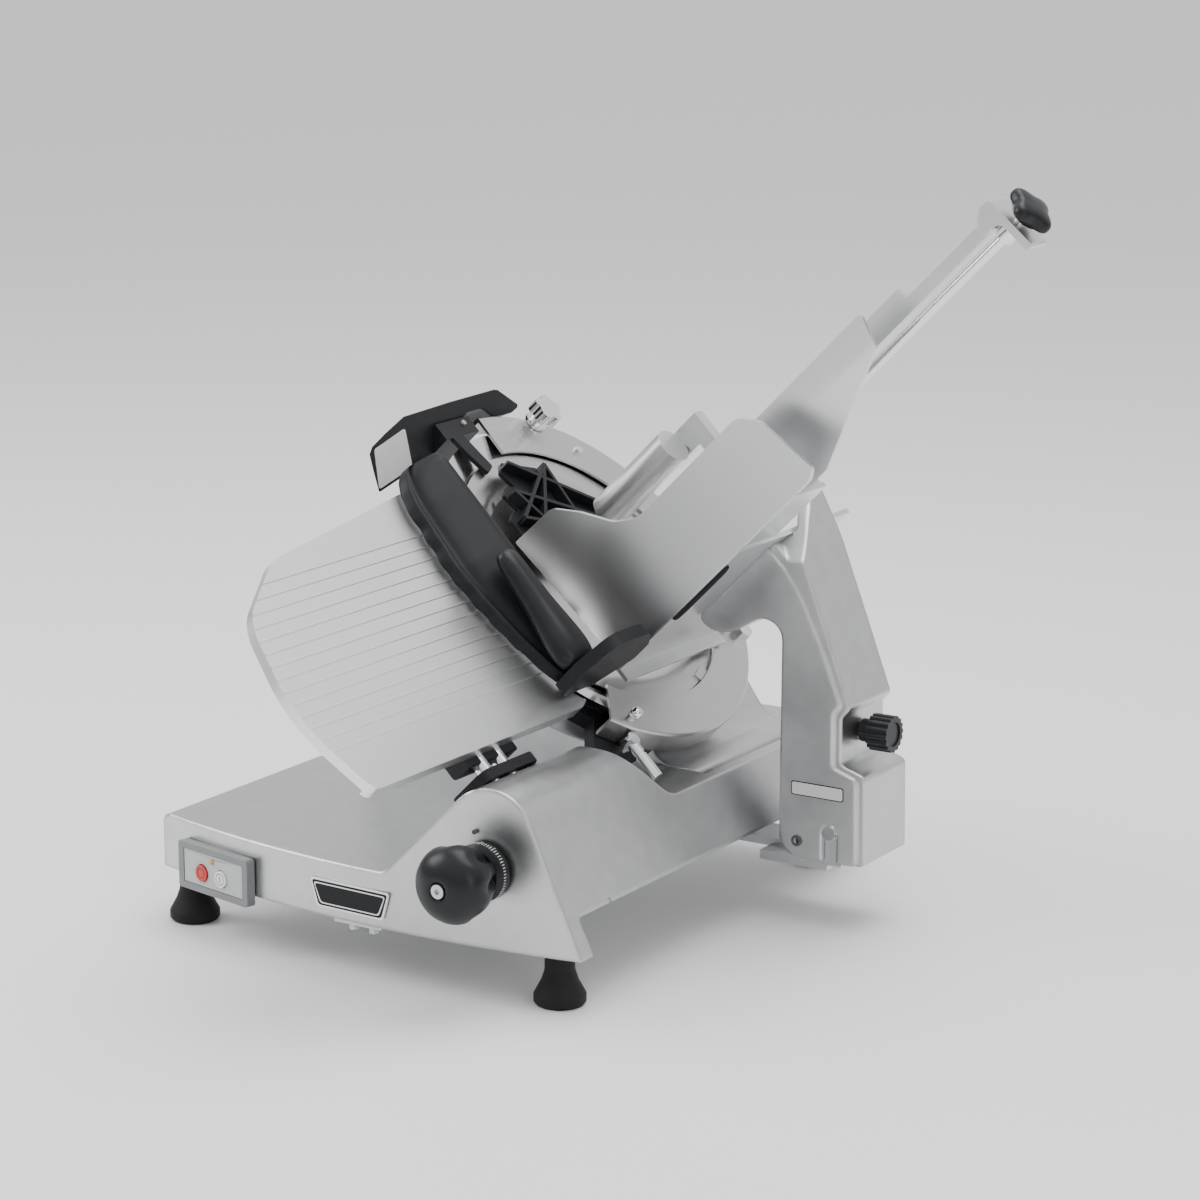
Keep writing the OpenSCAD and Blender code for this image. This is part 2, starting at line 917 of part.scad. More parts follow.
module knife_cover() {
    color("gainsboro")
        slicing_plane() {
            // Tabs under the ring guard hold the cover still over the turning knife
            for (ang = [-70, 20]) {
                rotate(ang) translate([cover_r - 7, -9, -1]) cube([14, 18, 2.5]);
            }
            rotate_extrude($fn = 128)
                polygon([
                    [0, -11], [cover_r - 36, -11], [cover_r - 24, -4.6], [cover_r - 1, -3.6],
                    [cover_r, -0.6], [cover_r - 22, -0.9], [cover_r - 34, -8.4], [0, -8.4]
                ]);
        }
}

knob_angle = 64;
knob_radius = ring_r - 3;

module star_knob() {
    color("gainsboro")
        slicing_plane()
            rotate(knob_angle)
                translate([knob_radius, 0, 0]) {
                    disc(11, 4.5 + pass_gap, 8);
                    disc(6, 7.9, 16);
                    disc(4, -10, 6);
                    along_z(15.9, 28) lobed(12, 5, 10.5, 5);
                }
}

module cover_pins() {
    color("lightgray")
        slicing_plane() {
            // Ball-headed pin on the ring's lower end
            rotate(ring_from + 8) translate([ring_r - 12, 0, 0]) {
                disc(4, 4.5, 9);
                translate([0, 0, 11]) sphere(r = 6);
            }
            // Small screw beside the star knob
            rotate(knob_angle - 16) translate([ring_r - 20, 0, 0]) disc(4, 4.5, 7.5);
            // Hexagonal latch nut on the back edge
            rotate(-38) translate([ring_r - 8, 0, 4.5]) cylinder(r = 9, h = 8, $fn = 6);
            // Studs from the housing up to the ring guard
            for (p = pin_places) {
                rotate(p[0]) {
                    translate([p[1], 0, 0]) disc(3, housing_top - 12, housing_top + 2);
                    translate([p[1], -3, housing_top + 2]) cube([ring_r - 1 - p[1], 6, 3]);
                }
            }
        }
}

module lower_bracket() {
    color("#18191b")
        slicing_plane()
            difference() {
                along_z(housing_top - 10, housing_top + 4)
                    polygon(rounded([
                        [-124, -105, 0], [-110, -98, 0], [-40, -140, 0], [-46, -168, 5],
                        [-100, -172, 8], [-126, -160, 6], [-137, -151, 3], [-107, -124, 0]
                    ]));
                disc(housing_r, housing_top - 40, housing_top + 10);
                rotate(pin_places[0][0])
                    translate([housing_r - 20, -3.1, housing_top + 1.9]) cube([80, 6.2, 10]);
                translate([lever_a, lever_top_b + 8, -60]) cylinder(r = 5 + running_fit, h = 60);
                for (i = [1:3]) {
                    translate([-138 + i * 7, -160 - i * 5, -60]) cube([3, 12, 60]);
                }
            }
}

lever_a = -103;
lever_top_b = -168;
lever_low_b = -200;
lever_r = 5.5;

module release_lever() {
    color("gainsboro")
        slicing_plane() {
            translate([lever_a, lever_low_b, -6]) rotate([-90, 0, 0]) {
                difference() {
                    cylinder(r = lever_r, h = lever_top_b - lever_low_b + 12);
                    translate([0, 0, 24])
                        rotate_extrude() translate([lever_r - 1, 0]) square([3, 2]);
                }
            }
            translate([lever_a, lever_top_b + 8, 0]) {
                disc(6.3, -12, 0);
                disc(5, -32, -11.9);
            }
        }
}

module slice_deflector() {
    color("silver")
        slicing_plane() {
            rotate(150)
                rotate_extrude(angle = 66, $fn = 128)
                    polygon([
                        [housing_r - 24, housing_top], [housing_r - 8, housing_top],
                        [housing_r - 8, housing_top + 3], [housing_r - 24, housing_top + 3]
                    ]);
        }
}

module motor() {
    color("#3a3f45")
        slicing_plane()
            translate([motor_a, motor_b, 0]) {
                difference() {
                    union() {
                        disc(motor_r, pulley_low - 8 - motor_len, pulley_low - 8);
                        translate([0, 0, pulley_low - 20 - motor_len]) cylinder(r1 = 24, r2 = 30, h = 12.01);
                        // Mounting ears
                        for (s = [0:3]) {
                            rotate(45 + 90 * s) translate([motor_r - 6, -7, pulley_low - 14]) cube([14, 14, 6]);
                        }
                    }
                    for (i = [0:17]) {
                        rotate(i * 20) translate([motor_r - 3, -2, pulley_low - 2 - motor_len])
                            cube([6, 4, motor_len - 16]);
                    }
                    disc(motor_shaft_r + running_fit, pulley_low - 30, pulley_low);
                }
            }
}

module motor_pulley() {
    color("lightgray")
        slicing_plane()
            translate([motor_a, motor_b, 0]) {
                disc(motor_shaft_r, pulley_low - 29, pulley_low + pulley_w + 1);
                difference() {
                    disc(motor_pulley_r, pulley_low, pulley_low + pulley_w);
                    translate([0, 0, pulley_low + 2])
                        rotate_extrude()
                            translate([motor_pulley_r - 1.5, 0]) square([10, pulley_w - 4]);
                }
            }
}

module belt_loop(extra) {
    hull() {
        circle(r = pulley_r - 1 + extra, $fn = 48);
        translate([motor_a, motor_b]) circle(r = motor_pulley_r - 1 + extra, $fn = 48);
    }
}

module drive_belt() {
    color("#202224")
        slicing_plane()
            along_z(pulley_low + 3, pulley_low + pulley_w - 3)
                difference() {
                    belt_loop(belt_t);
                    belt_loop(0);
                }
}

// ---- Sharpener ----

hood_x0 = 58;
hood_x1 = 116;
hood_z = tray_z + 281;

function hood_outline() = rounded([
    [178, hood_z, 4], [164, hood_z + 39, 10], [188, hood_z + 52, 20], [217, hood_z + 63, 12],
    [366, hood_z + 67, 10], [402, hood_z + 46, 6], [392, hood_z + 40, 2], [362, hood_z + 40, 4],
    [346, hood_z + 50, 6], [318, hood_z + 52, 6], [298, hood_z + 32, 10],
    [262, hood_z + 17, 8], [231, hood_z + 12, 6]
]);

module sharpener_hood() {
    color("#26282b")
        machine()
            difference() {
                along_x(hood_x0, hood_x1) polygon(hood_outline());
                intersection() {
                    translate([0, 0, -4]) along_x(hood_x0 + 4, hood_x1 - 4) polygon(hood_outline());
                    translate([hood_x0, 171, hood_z - 20]) cube([80, 224, 100]);
                }
                // Window for the carrier and room for the stones
                translate([knife_x, knife_y, knife_z]) rotate([0, tilt, 0]) rotate([0, 0, 90]) {
                    translate([-60.1, ring_r - 30, -52.1]) cube([52.2, 33.1, 58.2]);
                    translate([stone_a, stone_b, -50]) cylinder(r = stone_r + 1, h = 64);
                }
            }
}

module sharpener_body() {
    color("#1d1f21")
        slicing_plane()
            difference() {
                union() {
                    // Carrier inside the hood
                    translate([-60, ring_r - 15, -52]) cube([52, 18, 58]);
                    // Arm in front of the knife
                    along_z(1.5, 6)
                        polygon(rounded([
                            [-50, ring_r - 12, 2], [-34, ring_r - 12, 2], [-30, 150, 6],
                            [-26, 130, 3], [-38, 124, 3], [-46, 150, 8]
                        ]));
                }
                for (h = stone_heights) {
                    translate([stone_a, stone_b, h[0] - 0.5]) cylinder(r = stone_r + 1, h = h[1] + 1);
                    translate([stone_a - stone_r - 1, stone_b, h[0] - 0.5]) cube([2 * stone_r + 2, 40, h[1] + 1]);
                }
                translate([stone_a, stone_b, -48]) cylinder(r = 2.5 + running_fit, h = 70);
                translate([post_a, 0, post_d]) rotate([-90, 0, 0]) cylinder(r = post_r + running_fit, h = 300);
            }
}

// Stones on one pin: height and thickness
stone_a = -22;
stone_b = ring_r - 3;
stone_r = 10;
stone_heights = [[-34, 9], [-5, 8]];
post_a = -50;
post_d = -42;
post_r = 6;

module sharpening_stones() {
    color("#b9a58c")
        slicing_plane()
            translate([stone_a, stone_b, 0]) {
                for (h = stone_heights) {
                    disc(stone_r, h[0], h[0] + h[1]);
                }
                disc(2.5, -44, 8);
            }
}

// ---- Transport ----

rod_y0 = bow_y(transport_x) + 8;
rod_y1 = base_d - 12;
bracket_w = 14;

module transport_rod() {
    color("gainsboro")
        machine()
            translate([transport_x, rod_y0, transport_z])
                rotate([-90, 0, 0]) cylinder(r = transport_r, h = rod_y1 - rod_y0 - 4);
}

module transport_mounts() {
    color("gray")
        machine() {
            // Rear bracket of the rod
            difference() {
                along_y(rod_y1 - bracket_w, rod_y1)
                    polygon(rounded([
                        [transport_x - 18, transport_z - 15, 6], [transport_x + 18, transport_z - 15, 6],
                        [transport_x + 18, skirt_z + 1, 0], [transport_x - 18, skirt_z + 1, 0]
                    ]));
                translate([transport_x, rod_y0, transport_z])
                    rotate([-90, 0, 0]) cylinder(r = transport_r, h = rod_y1 - rod_y0 - 4);
            }
            // Bar that the roller runs under
            translate([guide_bar_x - 5, 52, skirt_z - 3]) cube([10, base_d - 102, 4]);
        }
}

block_y0 = arm_y - 5;
block_y1 = arm_y + arm_d + 5;
web_y0 = arm_y + 31;
web_y1 = arm_y + arm_d - cast_wall - 2;
post_y = arm_y + arm_d / 2;
lug_y0 = arm_y + cast_wall + pass_gap;
lug_y1 = arm_y + arm_d - cast_wall - pass_gap;

module transport_block() {
    color("lightgray")
        machine()
            difference() {
                union() {
                    along_y(block_y0, block_y1)
                        polygon(rounded([
                            [transport_x - 17, transport_z - 13, 5], [transport_x + 26, transport_z - 13, 3],
                            [transport_x + 26, transport_z + 12, 3], [transport_x - 17, transport_z + 12, 5]
                        ]));
                    // Plate out to the arm
                    along_z(plate_z - 4, plate_z + plate_t - 4)
                        polygon(rounded([
                            [transport_x + 20, web_y0, 0], [hinge_x - 34, web_y0, 4],
                            [hinge_x - 30, lug_y0, 3], [hinge_x + 9, lug_y0, 0],
                            [hinge_x + 9, lug_y1, 0], [hinge_x - 30, lug_y1, 0],
                            [hinge_x - 30, web_y1, 0], [transport_x + 20, web_y1, 0]
                        ]));
                    // Tray under the arm's foot
                    along_y(arm_y + 6, arm_y + arm_d - 2)
                        polygon([
                            [426, foot_h + 3], [hinge_x - 5, foot_h + 3], [hinge_x - 5, foot_h + 7],
                            [hinge_x - 14, foot_h + 11.5], [426, foot_h + 11.5]
                        ]);
                    // Hinge lug and the post for the tilt lock
                    along_y(lug_y0, lug_y1)
                        polygon(rounded([
                            [hinge_x - 30, plate_z - 3, 0], [hinge_x + 9, plate_z - 3, 0],
                            [hinge_x + 9, hinge_z + 9, 9], [hinge_x - 14, hinge_z + 9, 8], [hinge_x - 30, hinge_z - 10, 4]
                        ]));
                    // Post for the tilt lock
                    along_y(post_y - 8, post_y + 8)
                        polygon(rounded([
                            [hinge_x - 30, plate_z, 0], [hinge_x + 4, plate_z, 0], [hinge_x + 4, hinge_z + 6, 10],
                            [hinge_x - 12, hinge_z + 36, 20], [hinge_x - 12, lock_z + 12, 3],
                            [hinge_x - 24, lock_z + 12, 3], [hinge_x - 30, hinge_z, 30]
                        ]));
                    // Roller under the guide bar
                    translate([guide_bar_x - 5, (block_y0 + block_y1) / 2, skirt_z - 3 - pass_gap - 7])
                        rotate([0, 90, 0]) cylinder(r = 7, h = 10);
                    translate([guide_bar_x - 12, (block_y0 + block_y1) / 2 - 6, plate_z + 3])
                        cube([6.5, 12, 12]);
                    translate([guide_bar_x - 12, (block_y0 + block_y1) / 2, skirt_z - 3 - pass_gap - 7])
                        rotate([0, 90, 0]) cylinder(r = 3, h = 12);
                }
                translate([transport_x, block_y0 - 1, transport_z])
                    rotate([-90, 0, 0])
                        cylinder(r = transport_r + running_fit, h = block_y1 - block_y0 + 2);
                translate([hinge_x, 0, hinge_z])
                    rotate([-90, 0, 0]) cylinder(r = hinge_pin_r, h = 600);
            }
}

module hinge_pin() {
    color("gainsboro")
        machine()
            translate([hinge_x, arm_y - 1.5, hinge_z])
                rotate([-90, 0, 0]) cylinder(r = hinge_pin_r, h = arm_d + 3);
}

// ---- Carriage arm ----

arm_left = 449;
arm_right = 534;

floor_under = floor_b - chute_t - pass_gap / 5;
arm_left_edge = [
    [plane_x(66, floor_under), plane_z(66, floor_under), 6],
    [378, foot_h + 208, 26], [400, foot_h + 211, 30],
    [428, foot_h + 228, 16], [450, foot_h + 223, 17]
];

// Whole arm seen from the front, with the fin that rises behind the chute
function arm_outline() = concat([
    [arm_left, foot_h + 13, 20], [arm_right, foot_h + 13, 4],
    [arm_right - 1, foot_h + 95, 6], [arm_right - 25, foot_h + 103, 6],
    [arm_right - 25, foot_h + 146, 4], [arm_right - 17, foot_h + 155, 5],
    [497, foot_h + 208, 160], [464, foot_h + 293, 150],
    [436, foot_h + 346, 3], [428, foot_h + 340, 2],
    [plane_x(185, floor_under), plane_z(185, floor_under), 0]
], arm_left_edge);

// Raised front panel, set in from the right edge
function panel_outline() = concat([
    [arm_left, foot_h + 13, 20], [arm_right - 7, foot_h + 13, 4],
    [arm_right - 8, foot_h + 92, 6], [arm_right - 32, foot_h + 100, 6],
    [arm_right - 32, foot_h + 149, 4], [arm_right - 25, foot_h + 158, 5],
    [489, foot_h + 208, 160], [466, foot_h + 254, 70],
    [plane_x(166, -124), plane_z(166, -124), 18],
    [plane_x(166, floor_under), plane_z(166, floor_under), 0]
], arm_left_edge);

panel_step = 3;

module arm_pocket() {
    along_y(arm_y + cast_wall, arm_y + arm_d - cast_wall)
        polygon(rounded([
            [arm_left + cast_wall, foot_h, 0], [arm_right - 5, foot_h, 0],
            [arm_right - 6, foot_h + 86, 4], [arm_right - 30, foot_h + 98, 4],
            [arm_right - 30, lock_z + 24, 4], [arm_left + 4, lock_z + 24, 6]
        ]));
}

module carriage_arm() {
    color("silver")
        machine()
            difference() {
                union() {
                    difference() {
                        along_y(arm_y + panel_step, arm_y + arm_d) polygon(rounded(arm_outline(), 8));
                        // The fin's front edge slants back toward its tip
                        intersection() {
                            along_x(380, 520)
                                polygon([
                                    [arm_y, foot_h + 279], [arm_y + arm_d - 4, foot_h + 347],
                                    [arm_y + arm_d - 4, foot_h + 400], [arm_y, foot_h + 400]
                                ]);
                            translate([knife_x, knife_y, knife_z]) rotate([0, tilt, 0])
                                translate([-200, -60, 173]) cube([400, 200, 120]);
                        }
                    }
                    along_y(arm_y, arm_y + panel_step + 1) polygon(rounded(panel_outline(), 8));
                }
                arm_pocket();
                // Hinge: a slot open at the bottom, and its bore through both walls
                translate([hinge_x, arm_y - 1, hinge_z])
                    rotate([-90, 0, 0]) cylinder(r = hinge_pin_r + running_fit, h = arm_d + 2);
                translate([hinge_x - hinge_pin_r - 1, arm_y - 1, foot_h])
                    cube([2 * hinge_pin_r + 2, cast_wall + 2, hinge_z - foot_h]);
                // Window that the lock post passes through as the arm tilts
                translate([arm_left - 2, post_y - 10, foot_h + 26])
                    cube([cast_wall + 4, 20, lock_z + 20 - foot_h - 26]);
                // Bore of the tilt lock
                translate([arm_left + 20, arm_y + arm_d / 2, lock_z])
                    rotate([0, 90, 0]) cylinder(r = 6 + running_fit, h = 90);
                // Socket screw in the front wall
                translate([arm_left + 19, arm_y - 1, foot_h + 28])
                    rotate([-90, 0, 0]) cylinder(r = 3, h = 5);
            }
}

module lock_knob() {
    color("#1b1c1e")
        machine()
            translate([hinge_x - 12 + pass_gap, arm_y + arm_d / 2, lock_z])
                rotate([0, 90, 0]) {
                    disc(6, 0, 34);
                    disc(10.5, arm_right - 25 - hinge_x + 12 + 2, 36);
                    difference() {
                        along_z(33, 54) lobed(15, 2.4, 14.3, 16);
                        disc(11, 52.5, 60);
                    }
                }
}

// ---- Chute, guard and pusher ----

function wall_outline() = rounded([
    [2 + 3, 51, 1.5], [57, 49, 12], [78, 28, 16], [100, dip_b + 14 - 2, 26],
    [122, dip_b - 1, 30], [262, dip_b - 1, 14], [278, dip_b - 18, 14],
    [wall_end, floor_b + 2, 3], [280, floor_b - 4, 3], [34, floor_b - 4, 4], [13, -68, 10]
]);

module chute() {
    color("gainsboro")
        slicing_plane() {
            // Front wall, sketched as [distance from the plane, height up the plane]
            translate([wall_a, 0, 0])
                rotate([90, 0, 90])
                    linear_extrude(chute_t)
                        polygon([for (p = wall_outline()) [p[1], p[0]]]);
            // Floor under the food, with its lip beside the knife
            translate([wall_a + 1, floor_b - chute_t, 10])
                cube([199, chute_t, 172]);
            translate([wall_a + 1, floor_b - 17, 7])
                cube([170, 17, 4]);
            // Upper extension that shields the slide bar
            intersection() {
                translate([-32, 0, 230])
                    linear_extrude(170)
                        polygon([
                            [0, -17], [0, -42], [10, floor_b + 4], [14, floor_b + 4], [4, -42], [4, -17]
                        ]);
                translate([-60, 0, 0])
                    rotate([90, 0, 90])
                        linear_extrude(80)
                            polygon(rounded([
                                [-17, 235, 0], [-17, 397, 3], [-48, 387, 3], [floor_b, 262, 0], [floor_b, 235, 0]
                            ]));
            }
            // Webs from the wall to the extension and to the bar mount
            translate([wall_a + 1, floor_b - 0.01, 236]) cube([50, 8, 24]);
            translate([-32, floor_b, 236]) cube([13, 30, 8]);
            translate([wall_a + 1, floor_b - chute_t, 190]) cube([54, chute_t, 70]);
            // Mount of the slide bar and rod
            difference() {
                translate([bar_a + 1, floor_b - 0.01, mount_d0])
                    cube([18, bar_low_b - floor_b, mount_d1 - mount_d0]);
                translate([rod_a, rod_b, 100]) cylinder(r = rod_r, h = 100);
            }
        }
}

function guard_profile() = rounded([
    [-189, 3, 1], [-189, 7, 2], [-164, 9, 4], [-127, 34, 6], [-118, 34, 3],
    [-118, 29, 3], [-150, 3, 4]
]);

module hand_guard() {
    color("#222427")
        slicing_plane()
            difference() {
                intersection() {
                    along_y(-90, 152) polygon(guard_profile());
                    along_z(0, 60)
                        polygon(rounded([
                            [-119, -99, 4], [-146, -97, 14], [-166, -72, 20], [-190, 0, 60],
                            [-192, 60, 60], [-182, 110, 40], [-170, 140, 14], [-150, 154, 12],
                            [-112, 154, 8], [-112, -99, 0]
                        ]));
                }
                for (i = [0:7]) {
                    translate([-196 + 0.55 * pow(i - 4, 2) * 0.9, -66 + i * 24, -1])
                        cylinder(r = 7, h = 40);
                }
            }
}

module guard_grip() {
    color("#17181a")
        slicing_plane()
            translate([-143, 33, 49])
                rotate([85, 0, 0])
                    rotate_extrude()
                        polygon(rounded([
                            [0, 0, 0], [9, 0, 5], [12, 24, 20], [14.5, 60, 30], [18, 96, 20],
                            [14, 122, 6], [0, 122, 0]
                        ]));
}

module end_flange() {
    color("#1c1e20")
        slicing_plane()
            along_y(-102, -90)
                polygon(rounded([
                    [-162, 5, 6], [-112, 5, 0], [wall_a - 0.1, 30, 2], [wall_a - 0.1, 52, 8],
                    [-96, 76, 18], [-150, 78, 20], [-166, 40, 20]
                ]));
}

module slide_bar() {
    color("gainsboro")
        slicing_plane()
            difference() {
                union() {
                    translate([bar_a, bar_low_b, mount_d0]) cube([bar_w, bar_h, bar_end - mount_d0 - 2]);
                    translate([bar_a, bar_low_b, mount_d0]) cube([5, 23, bar_end - mount_d0 - 118]);
                    // Bent end bracket
                    along_x(bar_a - 6, bar_a + bar_w + 6)
                        polygon(rounded([
                            [bar_low_b + 21, bar_end - 8, 4], [bar_low_b + 19, bar_end + 2, 3],
                            [bar_low_b - 35, bar_end + 6, 3], [bar_low_b - 35, bar_end - 1, 3],
                            [bar_low_b, bar_end - 4, 8], [bar_low_b, bar_end - 22, 0],
                            [bar_low_b + bar_h, bar_end - 22, 12]
                        ]));
                }
                translate([rod_a, rod_b, 100]) cylinder(r = rod_r + running_fit, h = 600);
            }
}

module slide_rod() {
    color("#d9dcde")
        slicing_plane() {
            translate([rod_a, rod_b, rod_start]) cylinder(r = rod_r, h = rod_len + 20);
            // Stop collar under the bracket
            translate([rod_a, rod_b, bar_end - 16]) cylinder(r = 8.5, h = 10);
        }
}

module rod_knob() {
    color("#232528")
        slicing_plane()
            translate([rod_a, rod_b, 0])
                difference() {
                    union() {
                        disc(14, bar_end + 7, bar_end + 11);
                        along_z(bar_end + 10, bar_end + 26) lobed(17, 8.5, 14.5, 4);
                    }
                    disc(rod_r + running_fit, 0, bar_end + 20);
                }
}

link_a0 = 35;
link_a1 = 47;
link_d = sleeve_start + 3 + pass_gap;

hub_out = sleeve_r + 0.9;

module pusher_sleeve() {
    color("darkgray")
        slicing_plane()
            translate([rod_a, rod_b, 0])
                difference() {
                    union() {
                        disc(sleeve_r - 1.4, sleeve_start, sleeve_start + sleeve_len);
                        disc(hub_out, sleeve_start, sleeve_start + 3);
                        disc(hub_out, sleeve_start + sleeve_len - 3, sleeve_start + sleeve_len);
                    }
                    disc(rod_r + running_fit, sleeve_start - 1, sleeve_start + sleeve_len + 1);
                }
}

module pusher_arm() {
    color("gainsboro")
        slicing_plane() {
            difference() {
                union() {
                    translate([rod_a, rod_b, 0])
                        disc(hub_out, sleeve_start + 3 + pass_gap, sleeve_start + sleeve_len - 3 - pass_gap);
                    // Link from the hub round the bar and up to the weight
                    translate([rod_a, rod_b - hub_out, link_d])
                        cube([link_a1 - rod_a, hub_out - 1, 16]);
                    translate([link_a0, rod_b - hub_out, link_d])
                        cube([link_a1 - link_a0, weight_b + 12 - rod_b + hub_out, 16]);
                    translate([link_a0, weight_b - 12, weight_d0 + weight_len - 26])
                        cube([link_a1 - link_a0, 24, link_d - weight_d0 - weight_len + 42]);
                }
                translate([rod_a, rod_b, 100]) cylinder(r = sleeve_r - 1.4 + running_fit, h = 200);
            }
            // Weight above the food plate
            translate([weight_a, weight_b, weight_d0]) {
                cylinder(r = weight_r, h = weight_len);
                translate([0, 0, plate_d + 4 - weight_d0]) cylinder(r = 8, h = weight_d0 - plate_d);
            }
            translate([weight_a, weight_b - 6, weight_d0 + 40])
                cube([link_a0 - weight_a + 1, 12, weight_len - 44]);
        }
}

function plate_outline() = rounded([
    [-22, 128, 4], [20, 113, 3], [66, 54, 5], [66, 20, 5], [-66, 20, 4],
    [-66, 70, 3], [-54, 78, 2], [-44, 74, 2], [-50, 96, 3], [-36, 104, 2], [-26, 98, 2], [-32, 118, 3]
]);

// Ribs of the food plate, as pairs of end points
plate_ribs = [
    [[-28, 122], [62, 52]], [[-60, 64], [20, 110]], [[-46, 92], [62, 30]],
    [[-62, 30], [20, 110]], [[-60, 64], [40, 24]], [[-24, 24], [-46, 92]], [[20, 110], [10, 24]]
];

module plate_rib_sketch() {
    intersection() {
        polygon(plate_outline());
        union() {
            for (r = plate_ribs) {
                let (run = r[1] - r[0])
                    translate([r[0][0], r[0][1]])
                        rotate(atan2(run[1], run[0]))
                            translate([0, -1.7]) square([norm(run), 3.4]);
            }
            translate([weight_a, weight_b]) circle(r = 13);
        }
    }
}

module pusher_plate() {
    color("#1b1c1e")
        slicing_plane()
            difference() {
                union() {
                    along_z(plate_d, plate_d + 4) polygon(plate_outline());
                    along_z(plate_d + 3, plate_d + 15) plate_rib_sketch();
                }
                translate([weight_a, weight_b, plate_d + 4]) cylinder(r = 8, h = 40);
            }
}

// ---- Nodes ----

base_casting();
base_cover();
cover_screws();
foot_front_left();
foot_front_right();
foot_rear_left();
foot_rear_right();
control_box();
membrane();
pilot_lamp();
start_button();
stop_button();
badge_plate();
front_bracket();
index_mark();
control_board();
power_inlet();
index_knob();
index_dial();
index_screw();
index_shaft();
gauge_plate();
gauge_bracket();
gauge_stems();
gauge_follower();
guide_rod();
rubber_boot();
knife_housing();
ring_guard();
knife();
knife_hub();
hub_bearings();
knife_cover();
star_knob();
cover_pins();
lower_bracket();
release_lever();
slice_deflector();
motor();
motor_pulley();
drive_belt();
sharpener_hood();
sharpener_body();
sharpening_stones();
transport_rod();
transport_mounts();
transport_block();
hinge_pin();
carriage_arm();
lock_knob();
chute();
hand_guard();
guard_grip();
end_flange();
slide_bar();
slide_rod();
rod_knob();
pusher_sleeve();
pusher_arm();
pusher_plate();
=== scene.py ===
# %% [markdown]
# # A deli slicer, finished as the real machine is
# The exact parts come from the CAD model: castings, plates, rods, knife and knobs already
# have their true sizes and places. This script gives each of them its surface, rounds the
# edges that a foundry or a press would round, and replaces the few pieces whose shape is
# too soft for exact solids: the hand guard, its grip and the moulded knobs.

import math

import bpy
import bmesh
from mathutils import Matrix, Vector


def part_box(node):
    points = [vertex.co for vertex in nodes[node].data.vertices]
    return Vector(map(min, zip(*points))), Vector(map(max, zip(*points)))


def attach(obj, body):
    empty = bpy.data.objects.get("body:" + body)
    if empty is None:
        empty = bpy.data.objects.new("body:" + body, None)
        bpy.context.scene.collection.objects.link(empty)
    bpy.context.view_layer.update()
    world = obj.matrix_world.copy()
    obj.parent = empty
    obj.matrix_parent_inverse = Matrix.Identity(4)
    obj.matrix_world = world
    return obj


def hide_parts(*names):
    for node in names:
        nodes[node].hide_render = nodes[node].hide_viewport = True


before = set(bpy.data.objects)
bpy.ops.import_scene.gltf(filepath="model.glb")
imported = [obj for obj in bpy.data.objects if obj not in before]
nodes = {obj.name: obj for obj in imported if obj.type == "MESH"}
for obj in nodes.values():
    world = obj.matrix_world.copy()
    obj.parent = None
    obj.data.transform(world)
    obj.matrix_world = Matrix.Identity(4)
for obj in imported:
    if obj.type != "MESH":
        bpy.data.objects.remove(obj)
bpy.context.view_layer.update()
MM = 0.001

# %% [markdown]
# A corner below the tray's front left end is a handy origin to think in: x to the right,
# y to the back, z up, in millimetres. The front right foot stands at a known place in that
# frame, so its box gives the shift to the part's own frame. The knife tilts 45 degrees, so
# a second frame lies in its cutting plane: a to the back, b up the plane, d to the food.

# %% Two ways to place things
foot_low, foot_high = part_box("foot_front_right")
foot_mid = (foot_low + foot_high) / 2
FOOT_X, FOOT_Y = 404, 30
KNIFE_X, KNIFE_Y, KNIFE_Z = 246, 322, 294
SLANT = math.sqrt(0.5)
origin = Vector((foot_mid.x - FOOT_X * MM, foot_mid.y - FOOT_Y * MM, 0))
knife_centre = origin + Vector((KNIFE_X, KNIFE_Y, KNIFE_Z)) * MM
plane_axes = Matrix(((0, -SLANT, SLANT), (1, 0, 0), (0, SLANT, SLANT)))


def place(x, y, z):
    """A point of the machine, in millimetres from the origin by the tray's front left end."""
    return origin + Vector((x, y, z)) * MM


def on_plane(a, b, d):
    """A point given in the cutting plane's own frame, in millimetres."""
    return knife_centre + plane_axes @ (Vector((a, b, d)) * MM)


print("origin", [round(v, 4) for v in origin])

# %% [markdown]
# The camera stands in front of the machine, to its right and a little above, where a
# customer at the counter would see it. A long lens from three metres keeps upright lines
# nearly parallel, as a studio picture of a machine does.

# %% Camera
camera_data = bpy.data.cameras.new("camera")
camera_data.lens = 108.57
camera_data.sensor_width = 36
camera = bpy.data.objects.new("camera", camera_data)
bpy.context.scene.collection.objects.link(camera)
camera.location = place(1983, -2386, 1025)
camera_pitch, camera_turn = 13.2, 32.5
camera.rotation_euler = (math.radians(90 - camera_pitch), 0, math.radians(camera_turn))
bpy.context.scene.camera = camera

# %% [markdown]
# Bright metal shows its surroundings, so the light matters as much as the material. Large
# soft panels give long gentle highlights. The world around is dark near the horizon and
# bright above and behind the machine, so that faces turned different ways differ in tone.

# %% Floor and light
floor_mesh = bpy.data.meshes.new("floor")
half_floor = 60
floor_corners = [(x * half_floor, y * half_floor, 0) for x, y in ((-1, -1), (1, -1), (1, 1), (-1, 1))]
floor_mesh.from_pydata(floor_corners, [], [(0, 1, 2, 3)])
floor = bpy.data.objects.new("floor", floor_mesh)
bpy.context.scene.collection.objects.link(floor)

